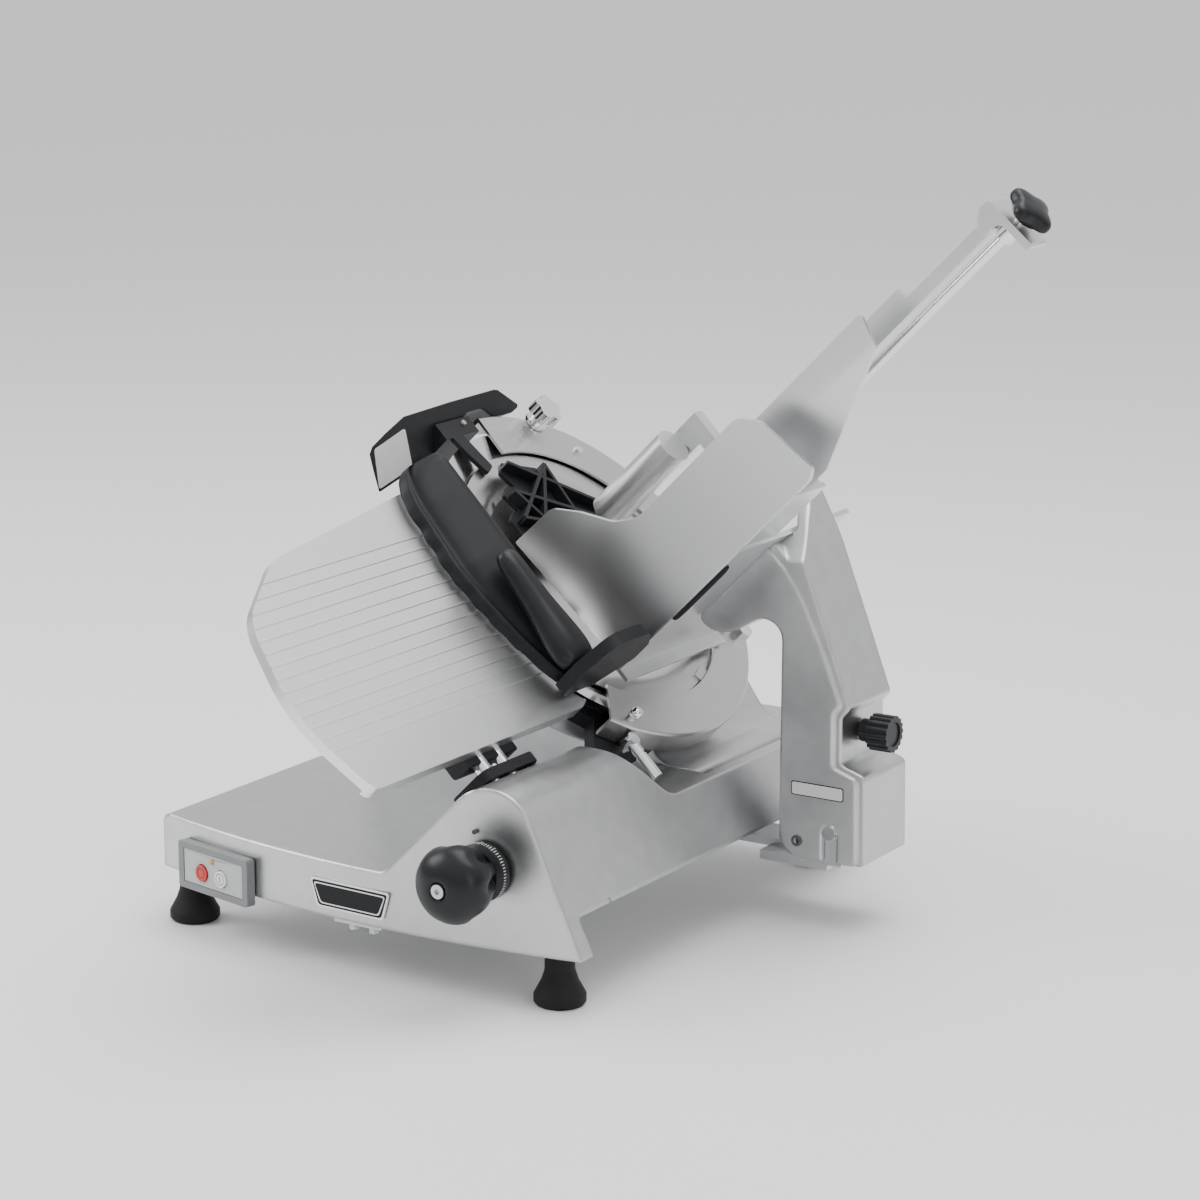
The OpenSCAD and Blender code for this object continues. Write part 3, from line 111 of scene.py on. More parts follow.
world = bpy.data.worlds.new("studio")
world.use_nodes = True
sky = world.node_tree
direction = sky.nodes.new("ShaderNodeTexCoord").outputs["Generated"]
split = sky.nodes.new("ShaderNodeSeparateXYZ")
sky.links.new(direction, split.inputs["Vector"])
ramp = sky.nodes.new("ShaderNodeValToRGB")
stops = ramp.color_ramp.elements
stops[0].position = 0.0
stops[0].color = (0.10, 0.10, 0.10, 1)
stops[1].position = 1.0
stops[1].color = (1.0, 1.0, 1.0, 1)
for height, grey in ((0.12, 0.22), (0.35, 0.55), (0.62, 1.0)):
    stop = stops.new(height)
    stop.color = (grey, grey, grey * 1.01, 1)
sky.links.new(split.outputs["Z"], ramp.inputs["Fac"])
backdrop = sky.nodes.new("ShaderNodeMapRange")
backdrop.interpolation_type = "SMOOTHSTEP"
backdrop.inputs["From Min"].default_value = 0.25
backdrop.inputs["From Max"].default_value = 0.9
sky.links.new(split.outputs["Y"], backdrop.inputs["Value"])
lighter = sky.nodes.new("ShaderNodeMix")
lighter.data_type = "RGBA"
lighter.inputs["B"].default_value = (0.95, 0.95, 0.96, 1)
sky.links.new(backdrop.outputs["Result"], lighter.inputs["Factor"])
sky.links.new(ramp.outputs["Color"], lighter.inputs["A"])
sky.links.new(lighter.outputs["Result"], sky.nodes["Background"].inputs["Color"])
sky.nodes["Background"].inputs["Strength"].default_value = 1.1
bpy.context.scene.world = world


def soft_panel(name, spot, aim, size, power):
    """A rectangular light that faces the point it is aimed at."""
    data = bpy.data.lights.new(name, "AREA")
    data.shape = "RECTANGLE"
    data.size, data.size_y = size
    data.energy = power
    lamp = bpy.data.objects.new(name, data)
    lamp.location = spot
    lamp.rotation_euler = (Vector(aim) - Vector(spot)).to_track_quat("-Z", "Y").to_euler()
    bpy.context.scene.collection.objects.link(lamp)
    return lamp


soft_panel("panel_left", (-2.4, -1.2, 2.0), (0, 0, 0.3), (1.6, 1.6), 60)
soft_panel("panel_top", (0.3, 0.4, 2.8), (0, 0, 0.2), (2.4, 1.8), 70)
soft_panel("panel_right", (2.4, -1.6, 0.9), (0, 0, 0.3), (0.5, 1.4), 10)

# %% [markdown]
# ## Finishes
# Effects that several finishes share are node groups: a cast or moulded grain, brushed
# lines, the paler worn edge, and the marks that hands and cloths leave. Each material sets
# its own values on them, so one change to a group reaches every part that uses it.

# %% Node helpers


def new_group(name, inputs, outputs):
    """A node group with float sockets: inputs as {name: default}, outputs as names."""
    group = bpy.data.node_groups.new(name, "ShaderNodeTree")
    for label, value in inputs.items():
        socket = group.interface.new_socket(label, in_out="INPUT", socket_type="NodeSocketFloat")
        socket.default_value = value
    for label in outputs:
        group.interface.new_socket(label, in_out="OUTPUT", socket_type="NodeSocketFloat")
    start = group.nodes.new("NodeGroupInput")
    end = group.nodes.new("NodeGroupOutput")
    return group, start, end


def math_node(tree, operation, a, b=None, clamp=False):
    """A Math node whose inputs are numbers or sockets; gives its output socket."""
    node = tree.nodes.new("ShaderNodeMath")
    node.operation = operation
    node.use_clamp = clamp
    for slot_index, value in enumerate((a, b)):
        if value is None:
            continue
        if isinstance(value, (int, float)):
            node.inputs[slot_index].default_value = value
        else:
            tree.links.new(value, node.inputs[slot_index])
    return node.outputs[0]


def noise(tree, vector, scale, detail=2.0, roughness=0.5):
    """A noise texture; gives its grey output socket."""
    node = tree.nodes.new("ShaderNodeTexNoise")
    node.inputs["Detail"].default_value = detail
    node.inputs["Roughness"].default_value = roughness
    if isinstance(scale, (int, float)):
        node.inputs["Scale"].default_value = scale
    else:
        tree.links.new(scale, node.inputs["Scale"])
    tree.links.new(vector, node.inputs["Vector"])
    return node.outputs["Fac"]


# %% [markdown]
# Grain: blasted castings, moulded plastic and rubber all have a fine even roughness, with
# a softer unevenness below it. Both come from noise in the part's own coordinates, so the
# grain keeps its size in millimetres on every part.

# %% Grain group
grain_group, grain_in, grain_out = new_group(
    "moulded_grain", {"Grain per metre": 900.0, "Swell per metre": 45.0}, ["Height", "Tone"]
)
grain_coords = grain_group.nodes.new("ShaderNodeTexCoord").outputs["Object"]
fine_grain = noise(grain_group, grain_coords, grain_in.outputs["Grain per metre"], 3.0, 0.6)
swell = noise(grain_group, grain_coords, grain_in.outputs["Swell per metre"], 2.0, 0.5)
grain_height = math_node(grain_group, "ADD", fine_grain, math_node(grain_group, "MULTIPLY", swell, 1.5))
grain_group.links.new(grain_height, grain_out.inputs["Height"])
fine_share = math_node(grain_group, "MULTIPLY", fine_grain, 0.35)
swell_share = math_node(grain_group, "MULTIPLY", swell, 0.65)
grain_tone = math_node(grain_group, "ADD", fine_share, swell_share)
grain_group.links.new(grain_tone, grain_out.inputs["Tone"])

# %% [markdown]
# Brushed lines: plates are finished by a belt that leaves fine lines one way. Stretching
# noise a hundred times along one axis gives them. The group takes the stretch on each axis,
# so the same group serves the gauge plate and the machined pieces.

# %% Brushed group
brush_group, brush_in, brush_out = new_group(
    "brushed_lines",
    {"Along X": 1.0, "Along Y": 1.0, "Along Z": 1.0, "Lines per metre": 900.0},
    ["Height", "Tone"],
)
brush_coords = brush_group.nodes.new("ShaderNodeTexCoord").outputs["Object"]
stretch = brush_group.nodes.new("ShaderNodeCombineXYZ")
for axis in "XYZ":
    brush_group.links.new(brush_in.outputs["Along " + axis], stretch.inputs[axis])
stretched = brush_group.nodes.new("ShaderNodeVectorMath")
stretched.operation = "MULTIPLY"
brush_group.links.new(brush_coords, stretched.inputs[0])
brush_group.links.new(stretch.outputs[0], stretched.inputs[1])
lines = noise(brush_group, stretched.outputs[0], brush_in.outputs["Lines per metre"], 2.0, 0.65)
brush_group.links.new(lines, brush_out.inputs["Height"])
brush_group.links.new(lines, brush_out.inputs["Tone"])

# %% [markdown]
# Turned rings: the knife and its cover are finished in a lathe, which leaves
# fine rings round their axis. The distance from the axis drives a noise, so the lines close
# on themselves as real ones do.

# %% Turned group
turned_group, turned_in, turned_out = new_group(
    "turned_rings",
    {
        "Centre X": 0.0, "Centre Y": 0.0, "Centre Z": 0.0,
        "Axis X": 0.0, "Axis Y": 0.0, "Axis Z": 1.0, "Rings per metre": 900.0,
    },
    ["Height", "Tone"],
)
turned_coords = turned_group.nodes.new("ShaderNodeTexCoord").outputs["Object"]


def vector_of(tree, source, word):
    """Three float inputs of a group as one vector."""
    node = tree.nodes.new("ShaderNodeCombineXYZ")
    for letter in "XYZ":
        tree.links.new(source.outputs[word + " " + letter], node.inputs[letter])
    return node.outputs[0]


def vector_math(tree, operation, a, b=None, output=0):
    """A Vector Math node between two sockets."""
    node = tree.nodes.new("ShaderNodeVectorMath")
    node.operation = operation
    tree.links.new(a, node.inputs[0])
    if b is not None:
        tree.links.new(b, node.inputs[1])
    return node.outputs[output]


turned_centre = vector_of(turned_group, turned_in, "Centre")
turned_axis = vector_of(turned_group, turned_in, "Axis")
from_centre = vector_math(turned_group, "SUBTRACT", turned_coords, turned_centre)
radius_vector = vector_math(turned_group, "CROSS_PRODUCT", from_centre, turned_axis)
radius_out = vector_math(turned_group, "LENGTH", radius_vector, None, 1)
ring_at = turned_group.nodes.new("ShaderNodeCombineXYZ")
turned_group.links.new(radius_out, ring_at.inputs["X"])
along_axis = vector_math(turned_group, "DOT_PRODUCT", from_centre, turned_axis, 1)
turned_group.links.new(math_node(turned_group, "MULTIPLY", along_axis, 0.9), ring_at.inputs["Y"])
rings = noise(turned_group, ring_at.outputs[0], turned_in.outputs["Rings per metre"], 3.0, 0.7)
turned_group.links.new(rings, turned_out.inputs["Height"])
turned_group.links.new(rings, turned_out.inputs["Tone"])

# %% [markdown]
# Worn edges: where hands and cloths rub, an edge is smoother and a little paler. The Bevel
# node rounds the normal near an edge, and the angle between it and the true normal is a
# mask that follows every edge without painting anything by hand.

# %% Edge group
edge_group, edge_in, edge_out = new_group("worn_edge", {"Strength": 1.0}, ["Mask"])
rounded_normal = edge_group.nodes.new("ShaderNodeBevel")
rounded_normal.samples = 4
rounded_normal.inputs["Radius"].default_value = 1.4 * MM
true_normal = edge_group.nodes.new("ShaderNodeNewGeometry")
agreement = vector_math(edge_group, "DOT_PRODUCT", rounded_normal.outputs[0], true_normal.outputs["Normal"], 1)
edge_amount = math_node(edge_group, "MULTIPLY", math_node(edge_group, "SUBTRACT", 1.0, agreement), 6.0, True)
edge_mask = math_node(edge_group, "MULTIPLY", edge_amount, edge_in.outputs["Strength"], True)
edge_group.links.new(edge_mask, edge_out.inputs["Mask"])

# %% [markdown]
# Marks of use: wiping leaves broad uneven patches of slightly different gloss. They are
# faint on a clean machine, but without them a metal surface looks computed.

# %% Wiping group
wipe_group, wipe_in, wipe_out = new_group("wiping_marks", {"Patch per metre": 9.0, "Sharpness": 2.0}, ["Mask"])
wipe_coords = wipe_group.nodes.new("ShaderNodeTexCoord").outputs["Object"]
patches = noise(wipe_group, wipe_coords, wipe_in.outputs["Patch per metre"], 4.0, 0.62)
centred = math_node(wipe_group, "SUBTRACT", patches, 0.5)
spread = math_node(wipe_group, "MULTIPLY", centred, wipe_in.outputs["Sharpness"])
wipe_group.links.new(math_node(wipe_group, "ADD", spread, 0.5, True), wipe_out.inputs["Mask"])

# %% [markdown]
# One function wires the groups into a Principled shader. A finish is then a few numbers:
# colour and its variation, gloss and its variation, the pattern and how deep it is.

# %% Finish builder


def mix_colour(tree, factor, low, high):
    """Mixes two colours by a socket and gives the colour socket."""
    node = tree.nodes.new("ShaderNodeMix")
    node.data_type = "RGBA"
    node.inputs["A"].default_value = (*low, 1)
    node.inputs["B"].default_value = (*high, 1)
    tree.links.new(factor, node.inputs["Factor"])
    return node.outputs["Result"]


def scaled(tree, socket, low, high):
    """Maps a 0 to 1 socket onto a range."""
    node = tree.nodes.new("ShaderNodeMapRange")
    node.inputs["To Min"].default_value = low
    node.inputs["To Max"].default_value = high
    tree.links.new(socket, node.inputs["Value"])
    return node.outputs["Result"]


def finish(name, pattern, values, dark, pale, gloss, metallic, bump, edge, wipe, soft=0.0, **constants):
    """A material: a pattern group with its values, two tones, a gloss range and worn edges.

    soft is the radius, in millimetres, of edges that only the shading rounds. Constants go
    to the shader's sockets of the same name, with an underscore for each space.
    """
    material = bpy.data.materials.new(name)
    material.use_nodes = True
    tree = material.node_tree
    shader = tree.nodes["Principled BSDF"]
    texture = tree.nodes.new("ShaderNodeGroup")
    texture.node_tree = pattern
    for label, value in values.items():
        texture.inputs[label].default_value = value
    wear = tree.nodes.new("ShaderNodeGroup")
    wear.node_tree = edge_group
    wear.inputs["Strength"].default_value = edge
    wiping = tree.nodes.new("ShaderNodeGroup")
    wiping.node_tree = wipe_group
    tone = mix_colour(tree, texture.outputs["Tone"], dark, pale)
    worn = tree.nodes.new("ShaderNodeMix")
    worn.data_type = "RGBA"
    tree.links.new(wear.outputs["Mask"], worn.inputs["Factor"])
    tree.links.new(tone, worn.inputs["A"])
    lift = 0.22 if metallic > 0.5 else 0.1
    worn.inputs["B"].default_value = (*[min(1, c + lift * (0.3 + c)) for c in pale], 1)
    tree.links.new(worn.outputs["Result"], shader.inputs["Base Color"])
    rough_pattern = scaled(tree, texture.outputs["Tone"], gloss[0], gloss[1])
    wiped = math_node(tree, "SUBTRACT", wiping.outputs["Mask"], 0.5)
    rough_wiped = math_node(tree, "ADD", rough_pattern, math_node(tree, "MULTIPLY", wiped, wipe * 0.3))
    polish = math_node(tree, "MULTIPLY", wear.outputs["Mask"], 0.08)
    rough_edge = math_node(tree, "SUBTRACT", rough_wiped, polish, True)
    tree.links.new(rough_edge, shader.inputs["Roughness"])
    bump_node = tree.nodes.new("ShaderNodeBump")
    bump_node.inputs["Strength"].default_value = bump
    bump_node.inputs["Distance"].default_value = 0.6 * MM
    tree.links.new(texture.outputs["Height"], bump_node.inputs["Height"])
    if soft:
        rounding = tree.nodes.new("ShaderNodeBevel")
        rounding.samples = 6
        rounding.inputs["Radius"].default_value = soft * MM
        tree.links.new(rounding.outputs[0], bump_node.inputs["Normal"])
    tree.links.new(bump_node.outputs["Normal"], shader.inputs["Normal"])
    shader.inputs["Metallic"].default_value = metallic
    for label, value in constants.items():
        shader.inputs[label.replace("_", " ")].default_value = value
    return material


# %% [markdown]
# The castings are blasted with fine beads and then lightly polished, which gives aluminium
# a soft silver sheen: fully metallic, fairly rough, with a very fine grain. The gauge plate
# is brushed across its ribs and anodised, and the chute is satin.

# %% Metals
knife_at = {
    "Centre X": knife_centre.x, "Centre Y": knife_centre.y, "Centre Z": knife_centre.z,
    "Axis X": SLANT, "Axis Y": 0.0, "Axis Z": SLANT,
}
cast_metal = finish(
    "cast aluminium", grain_group, {"Grain per metre": 1100.0, "Swell per metre": 60.0},
    (0.46, 0.465, 0.47), (0.64, 0.645, 0.65), (0.25, 0.38), 1.0, 0.14, 0.7, 0.15,
    soft=5.0,
)
plate_metal = finish(
    "brushed plate", brush_group,
    {"Along X": 1.0, "Along Y": 0.02, "Along Z": 1.0, "Lines per metre": 1500.0},
    (0.80, 0.805, 0.81), (0.88, 0.885, 0.89), (0.30, 0.40), 1.0, 0.04, 0.5, 0.1,
)
chute_metal = finish(
    "satin chute", grain_group, {"Grain per metre": 900.0, "Swell per metre": 25.0},
    (0.68, 0.685, 0.69), (0.74, 0.745, 0.75), (0.30, 0.36), 1.0, 0.02, 0.6, 0.06,
)
knife_metal = finish(
    "ground knife steel", turned_group, {**knife_at, "Rings per metre": 2600.0},
    (0.66, 0.67, 0.69), (0.80, 0.81, 0.83), (0.10, 0.24), 1.0, 0.04, 0.3, 0.2,
)
cover_metal = finish(
    "turned cover", turned_group, {**knife_at, "Rings per metre": 900.0},
    (0.50, 0.49, 0.48), (0.64, 0.63, 0.62), (0.26, 0.36), 1.0, 0.02, 0.5, 0.1,
)
machined_metal = finish(
    "machined steel", brush_group,
    {"Along X": 1.0, "Along Y": 0.2, "Along Z": 1.0, "Lines per metre": 1200.0},
    (0.50, 0.51, 0.53), (0.62, 0.63, 0.65), (0.26, 0.42), 1.0, 0.05, 0.5, 0.3,
)
chrome_metal = finish(
    "chrome plate", grain_group, {"Grain per metre": 500.0, "Swell per metre": 30.0},
    (0.80, 0.81, 0.83), (0.86, 0.87, 0.88), (0.04, 0.09), 1.0, 0.01, 0.2, 0.15,
)
print("metal finishes made")

# %% [markdown]
# The black pieces are glass-filled plastic with a fine texture from the mould, never pure
# black: light still shows their form. Rubber is softer and duller. The panel has a grey
# moulded frame, a printed film and small glossy buttons.

# %% Plastics and rubber
black_plastic = finish(
    "textured black moulding", grain_group, {"Grain per metre": 1500.0, "Swell per metre": 80.0},
    (0.010, 0.0105, 0.012), (0.020, 0.021, 0.024), (0.36, 0.48), 0.0, 0.08, 0.3, 0.2,
    Specular_IOR_Level=0.16,
)
satin_plastic = finish(
    "satin black knob", grain_group, {"Grain per metre": 1200.0, "Swell per metre": 50.0},
    (0.010, 0.0105, 0.012), (0.020, 0.021, 0.024), (0.26, 0.36), 0.0, 0.05, 0.3, 0.2,
    Specular_IOR_Level=0.22,
)
rubber = finish(
    "black rubber", grain_group, {"Grain per metre": 1100.0, "Swell per metre": 60.0},
    (0.011, 0.011, 0.012), (0.022, 0.022, 0.024), (0.5, 0.66), 0.0, 0.12, 0.3, 0.3,
    Specular_IOR_Level=0.14,
)
grey_plastic = finish(
    "grey panel frame", grain_group, {"Grain per metre": 1400.0, "Swell per metre": 60.0},
    (0.16, 0.165, 0.17), (0.22, 0.225, 0.23), (0.36, 0.48), 0.0, 0.06, 0.5, 0.3,
)
film = finish(
    "printed film", grain_group, {"Grain per metre": 2200.0, "Swell per metre": 30.0},
    (0.42, 0.43, 0.44), (0.50, 0.51, 0.52), (0.30, 0.38), 0.0, 0.03, 0.2, 0.3,
)
red_plastic = finish(
    "red button", grain_group, {"Grain per metre": 1800.0, "Swell per metre": 90.0},
    (0.50, 0.015, 0.012), (0.62, 0.03, 0.02), (0.20, 0.30), 0.0, 0.02, 0.4, 0.3,
)
white_plastic = finish(
    "white button", grain_group, {"Grain per metre": 1800.0, "Swell per metre": 90.0},
    (0.74, 0.74, 0.72), (0.84, 0.84, 0.82), (0.22, 0.32), 0.0, 0.02, 0.2, 0.3,
)
lamp_lens = finish(
    "lamp lens", grain_group, {"Grain per metre": 700.0, "Swell per metre": 200.0},
    (0.55, 0.30, 0.08), (0.75, 0.46, 0.14), (0.06, 0.12), 0.0, 0.03, 0.2, 0.2,
)
sticker_film = finish(
    "sticker film", grain_group, {"Grain per metre": 1600.0, "Swell per metre": 60.0},
    (0.60, 0.60, 0.59), (0.70, 0.70, 0.69), (0.34, 0.44), 0.0, 0.02, 0.2, 0.2,
)
dark_red = finish(
    "printed dark red", grain_group, {"Grain per metre": 1800.0, "Swell per metre": 90.0},
    (0.20, 0.008, 0.006), (0.28, 0.012, 0.01), (0.3, 0.4), 0.0, 0.02, 0.2, 0.2,
)
print("plastic finishes made")

# %% [markdown]
# Parts that show only when the machine is opened still get their own finish: enamel on the
# motor, lacquer on the control board, and the open gritty face of the sharpening stones.

# %% Inner finishes
motor_enamel = finish(
    "motor enamel", grain_group, {"Grain per metre": 600.0, "Swell per metre": 90.0},
    (0.045, 0.05, 0.055), (0.075, 0.08, 0.09), (0.34, 0.46), 0.0, 0.12, 0.7, 0.4,
)
board_lacquer = finish(
    "board lacquer", grain_group, {"Grain per metre": 2400.0, "Swell per metre": 160.0},
    (0.010, 0.085, 0.030), (0.020, 0.125, 0.045), (0.22, 0.34), 0.0, 0.05, 0.3, 0.3,
)
grit = finish(
    "bonded grit", grain_group, {"Grain per metre": 2600.0, "Swell per metre": 300.0},
    (0.30, 0.24, 0.18), (0.52, 0.44, 0.35), (0.75, 0.92), 0.0, 0.9, 0.2, 0.2,
)
floor_finish = finish(
    "pale floor", grain_group, {"Grain per metre": 90.0, "Swell per metre": 4.0},
    (0.82, 0.82, 0.82), (0.84, 0.84, 0.84), (0.55, 0.65), 0.0, 0.0, 0.0, 0.1,
)
floor_mesh.materials.append(floor_finish)

# %% [markdown]
# Each CAD part now gets its finish, and its edges are broken. Weld first joins the faces
# that the file format split, Bevel rounds every edge sharper than 30 degrees by the amount
# a foundry, a press or a file would leave, and Weighted Normal keeps the flats flat.

# %% Finish for each part
finish_of = {
    "cast": (cast_metal, ["base_casting", "knife_housing", "carriage_arm"]),
    "plate": (plate_metal, ["gauge_plate", "slice_deflector", "badge_plate", "base_cover"]),
    "chute": (chute_metal, ["chute", "slide_bar", "pusher_arm"]),
    "cover": (cover_metal, ["knife_cover", "ring_guard"]),
    "knife": (knife_metal, ["knife"]),
    "machined": (machined_metal, [
        "cover_screws", "front_bracket", "index_screw", "index_shaft", "gauge_follower",
        "guide_rod", "knife_hub", "hub_bearings", "motor_pulley", "transport_mounts",
        "transport_block", "pusher_sleeve",
    ]),
    "chrome": (chrome_metal, [
        "gauge_stems", "star_knob", "cover_pins", "release_lever", "transport_rod", "hinge_pin",
        "slide_rod",
    ]),
    "black": (black_plastic, [
        "gauge_bracket", "lower_bracket", "sharpener_hood", "sharpener_body", "hand_guard",
        "end_flange", "pusher_plate", "power_inlet",
    ]),
    "satin": (satin_plastic, ["index_knob", "index_dial", "lock_knob", "rod_knob", "guard_grip"]),
    "rubber": (rubber, [
        "foot_front_left", "foot_front_right", "foot_rear_left", "foot_rear_right", "rubber_boot",
        "drive_belt",
    ]),
    "grey": (grey_plastic, ["control_box"]),
    "film": (film, ["membrane"]),
    "red": (red_plastic, ["stop_button"]),
    "white": (white_plastic, ["start_button"]),
    "lens": (lamp_lens, ["pilot_lamp"]),
    "motor": (motor_enamel, ["motor", "index_mark"]),
    "board": (board_lacquer, ["control_board"]),
    "grit": (grit, ["sharpening_stones"]),
}
edge_size = {
    "base_casting": 1.6, "knife_housing": 3.0, "carriage_arm": 2.6, "chute": 0.9, "gauge_plate": 0.7,
    "sharpener_hood": 2.2, "hand_guard": 1.8, "end_flange": 2.0, "guard_grip": 1.0, "index_knob": 1.2,
    "rod_knob": 2.4, "ring_guard": 0.6, "knife": 0.15, "knife_cover": 0.4, "control_box": 1.0,
    "slide_bar": 0.8, "pusher_arm": 1.0, "pusher_plate": 0.6, "transport_block": 1.0, "lower_bracket": 1.2,
    "gauge_bracket": 1.4, "rubber_boot": 2.0, "lock_knob": 0.5, "motor": 0.8, "star_knob": 0.8,
}


def break_edges(part, width):
    """Welds, rounds sharp edges by a width in millimetres and evens the shading."""
    weld = part.modifiers.new("join", "WELD")
    weld.merge_threshold = 0.00001
    bevel = part.modifiers.new("round", "BEVEL")
    bevel.width = width * MM
    bevel.segments = 3 if width > 0.7 else 2
    bevel.limit_method = "ANGLE"
    bevel.angle_limit = math.radians(32)
    bevel.use_clamp_overlap = True
    bevel.harden_normals = False
    flat = part.modifiers.new("even", "WEIGHTED_NORMAL")
    flat.keep_sharp = True
    flat.weight = 80
    for polygon in part.data.polygons:
        polygon.use_smooth = True


for material, members in finish_of.values():
    for name in members:
        part = nodes[name]
        part.data.materials.clear()
        part.data.materials.append(material)
        break_edges(part, edge_size.get(name, 0.4))
print("finished", sum(len(m) for _, m in finish_of.values()), "of", len(nodes))

# %% [markdown]
# ## Moulded pieces
# Hands shape these parts, so their surfaces flow: no flat meets another at a line. They are
# built as lofts: closed rings of points, one after another along the piece, joined by faces
# and smoothed by subdivision. A ring's size, flutes and drift are the only numbers needed.

# %% Loft helpers


def loft(name, rings, material, body, levels=1, caps=True):
    """Joins closed rings of points into a smooth skin that rides on a body."""
    mesh = bmesh.new()
    rows = [[mesh.verts.new(point) for point in ring] for ring in rings]
    for low, high in zip(rows, rows[1:]):
        for i in range(len(low)):
            j = (i + 1) % len(low)
            mesh.faces.new((low[i], low[j], high[j], high[i]))
    if caps:
        for row in (rows[0], rows[-1]):
            mesh.faces.new(row)
    bmesh.ops.recalc_face_normals(mesh, faces=mesh.faces)
    data = bpy.data.meshes.new(name)
    mesh.to_mesh(data)
    mesh.free()
    for polygon in data.polygons:
        polygon.use_smooth = True
    piece = bpy.data.objects.new(name, data)
    bpy.context.scene.collection.objects.link(piece)
    data.materials.append(material)
    if levels:
        soft = piece.modifiers.new("soft", "SUBSURF")
        soft.levels = levels
        soft.render_levels = levels
    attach(piece, body)
    return piece


def ring_points(centre, across, upward, radius_at, steps):
    """A closed ring round a centre; radius_at gives the radius for each angle."""
    points = []
    for i in range(steps):
        turn = 2 * math.pi * i / steps
        radius = radius_at(turn)
        points.append(centre + across * (math.cos(turn) * radius) + upward * (math.sin(turn) * radius))
    return points


# %% [markdown]
# The slice-thickness knob is a round ball that swells from a fluted neck. The flutes give
# wet fingers something to push on, and fade out before the smooth front, where a screw
# sits in a small dimple. Each ring is a circle whose radius dips at each flute.

# %% Thickness knob
knob_low, knob_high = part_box("index_knob")
knob_x = (knob_low.x + knob_high.x) / 2
knob_z = (knob_low.z + knob_high.z) / 2
knob_deep = knob_high.y - knob_low.y
knob_shape = [
    (0.00, 21.5, 1.6), (0.04, 23.0, 2.4), (0.14, 25.0, 3.4), (0.26, 28.6, 3.6), (0.40, 32.4, 2.4),
    (0.55, 34.2, 1.0), (0.68, 33.6, 0.3), (0.80, 30.2, 0.0), (0.90, 24.4, 0.0), (0.965, 17.0, 0.0),
    (1.00, 9.2, 0.0), (0.985, 7.6, 0.0), (0.94, 7.2, 0.0), (0.93, 2.0, 0.0),
]
knob_rings = []
for share, radius, flute in knob_shape:
    centre = Vector((knob_x, knob_high.y - share * knob_deep, knob_z))

    def knob_radius(turn, radius=radius, flute=flute):
        return (radius - flute * (0.5 + 0.5 * math.cos(7 * turn)) ** 2 * 2) * MM

    knob_rings.append(ring_points(centre, Vector((1, 0, 0)), Vector((0, 0, 1)), knob_radius, 84))
fluted_knob = loft("fluted_knob", knob_rings, satin_plastic, "index")
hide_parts("index_knob")
print("knob", round(knob_deep / MM, 1), "mm deep")

# %% [markdown]
# The dial behind the knob carries fine white graduations. They are moulded in and filled
# with paint, so each is a thin bar that stands a hair above the black.

# %% Dial marks


def bars(name, boxes, material, body):
    """Many small boxes as one mesh. Each is a centre and three half edges u, v and w."""
    mesh = bmesh.new()
    for centre, u, v, w in boxes:
        signs = [(i, j, k) for i in (-1, 1) for j in (-1, 1) for k in (-1, 1)]
        corners = [mesh.verts.new(centre + u * i + v * j + w * k) for i, j, k in signs]
        for quad in ((0, 1, 3, 2), (4, 6, 7, 5), (0, 4, 5, 1), (2, 3, 7, 6), (0, 2, 6, 4), (1, 5, 7, 3)):
            mesh.faces.new([corners[i] for i in quad])
    bmesh.ops.recalc_face_normals(mesh, faces=mesh.faces)
    data = bpy.data.meshes.new(name)
    mesh.to_mesh(data)
    mesh.free()
    piece = bpy.data.objects.new(name, data)
    bpy.context.scene.collection.objects.link(piece)
    data.materials.append(material)
    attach(piece, body)
    return piece


dial_low, dial_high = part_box("index_dial")
dial_radius = (dial_high.x - dial_low.x) / 2
mark_count, long_every = 60, 5
long_half, short_half = 3.2, 2.0
marks = []
for i in range(mark_count):
    turn = 2 * math.pi * i / mark_count
    out = Vector((math.cos(turn), 0, math.sin(turn)))
    along = Vector((-math.sin(turn), 0, math.cos(turn)))
    half = long_half if i % long_every == 0 else short_half
    middle = Vector((knob_x, dial_high.y - 5.2 * MM, knob_z)) + out * (dial_radius - 0.2 * MM)
    shift = Vector((0, (long_half - half) * -0.5 * MM, 0))
    marks.append((middle + shift, out * 0.32 * MM, along * 0.3 * MM, Vector((0, half * MM, 0))))
dial_marks = bars("dial_marks", marks, white_plastic, "index")

# %% [markdown]
# The hand guard's grip is a tapering pear, thicker at the lower end where the palm rests,
# and it leans a little toward the guard. Its rings are ovals whose middle drifts.

# %% Guard grip
grip_shape = [
    (0.00, 4.5, 4.0), (0.012, 8.5, 7.0), (0.05, 11.5, 9.2), (0.13, 13.2, 10.8), (0.28, 14.0, 11.6),
    (0.44, 15.2, 12.4), (0.60, 18.2, 14.0), (0.75, 21.2, 15.6), (0.87, 22.0, 16.0), (0.95, 20.0, 14.6),
    (1.0, 16.0, 12.0),
]
grip_top = on_plane(-153, 30, 42)
grip_end = on_plane(-147, -90, 31)
grip_axis = (grip_end - grip_top).normalized()
grip_across = Vector((0, 1, 0))
grip_out = grip_across.cross(grip_axis).normalized()
grip_steps = 28
grip_rings = []
for share, wide, deep in grip_shape:
    centre = grip_top.lerp(grip_end, share)
    turns = [2 * math.pi * i / grip_steps for i in range(grip_steps)]
    ring = []
    for t in turns:
        sideways = grip_across * (math.cos(t) * wide * MM)
        ring.append(centre + sideways + grip_out * (math.sin(t) * deep * MM))
    grip_rings.append(ring)
palm_grip = loft("palm_grip", grip_rings, satin_plastic, "carriage", 2)
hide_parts("guard_grip")

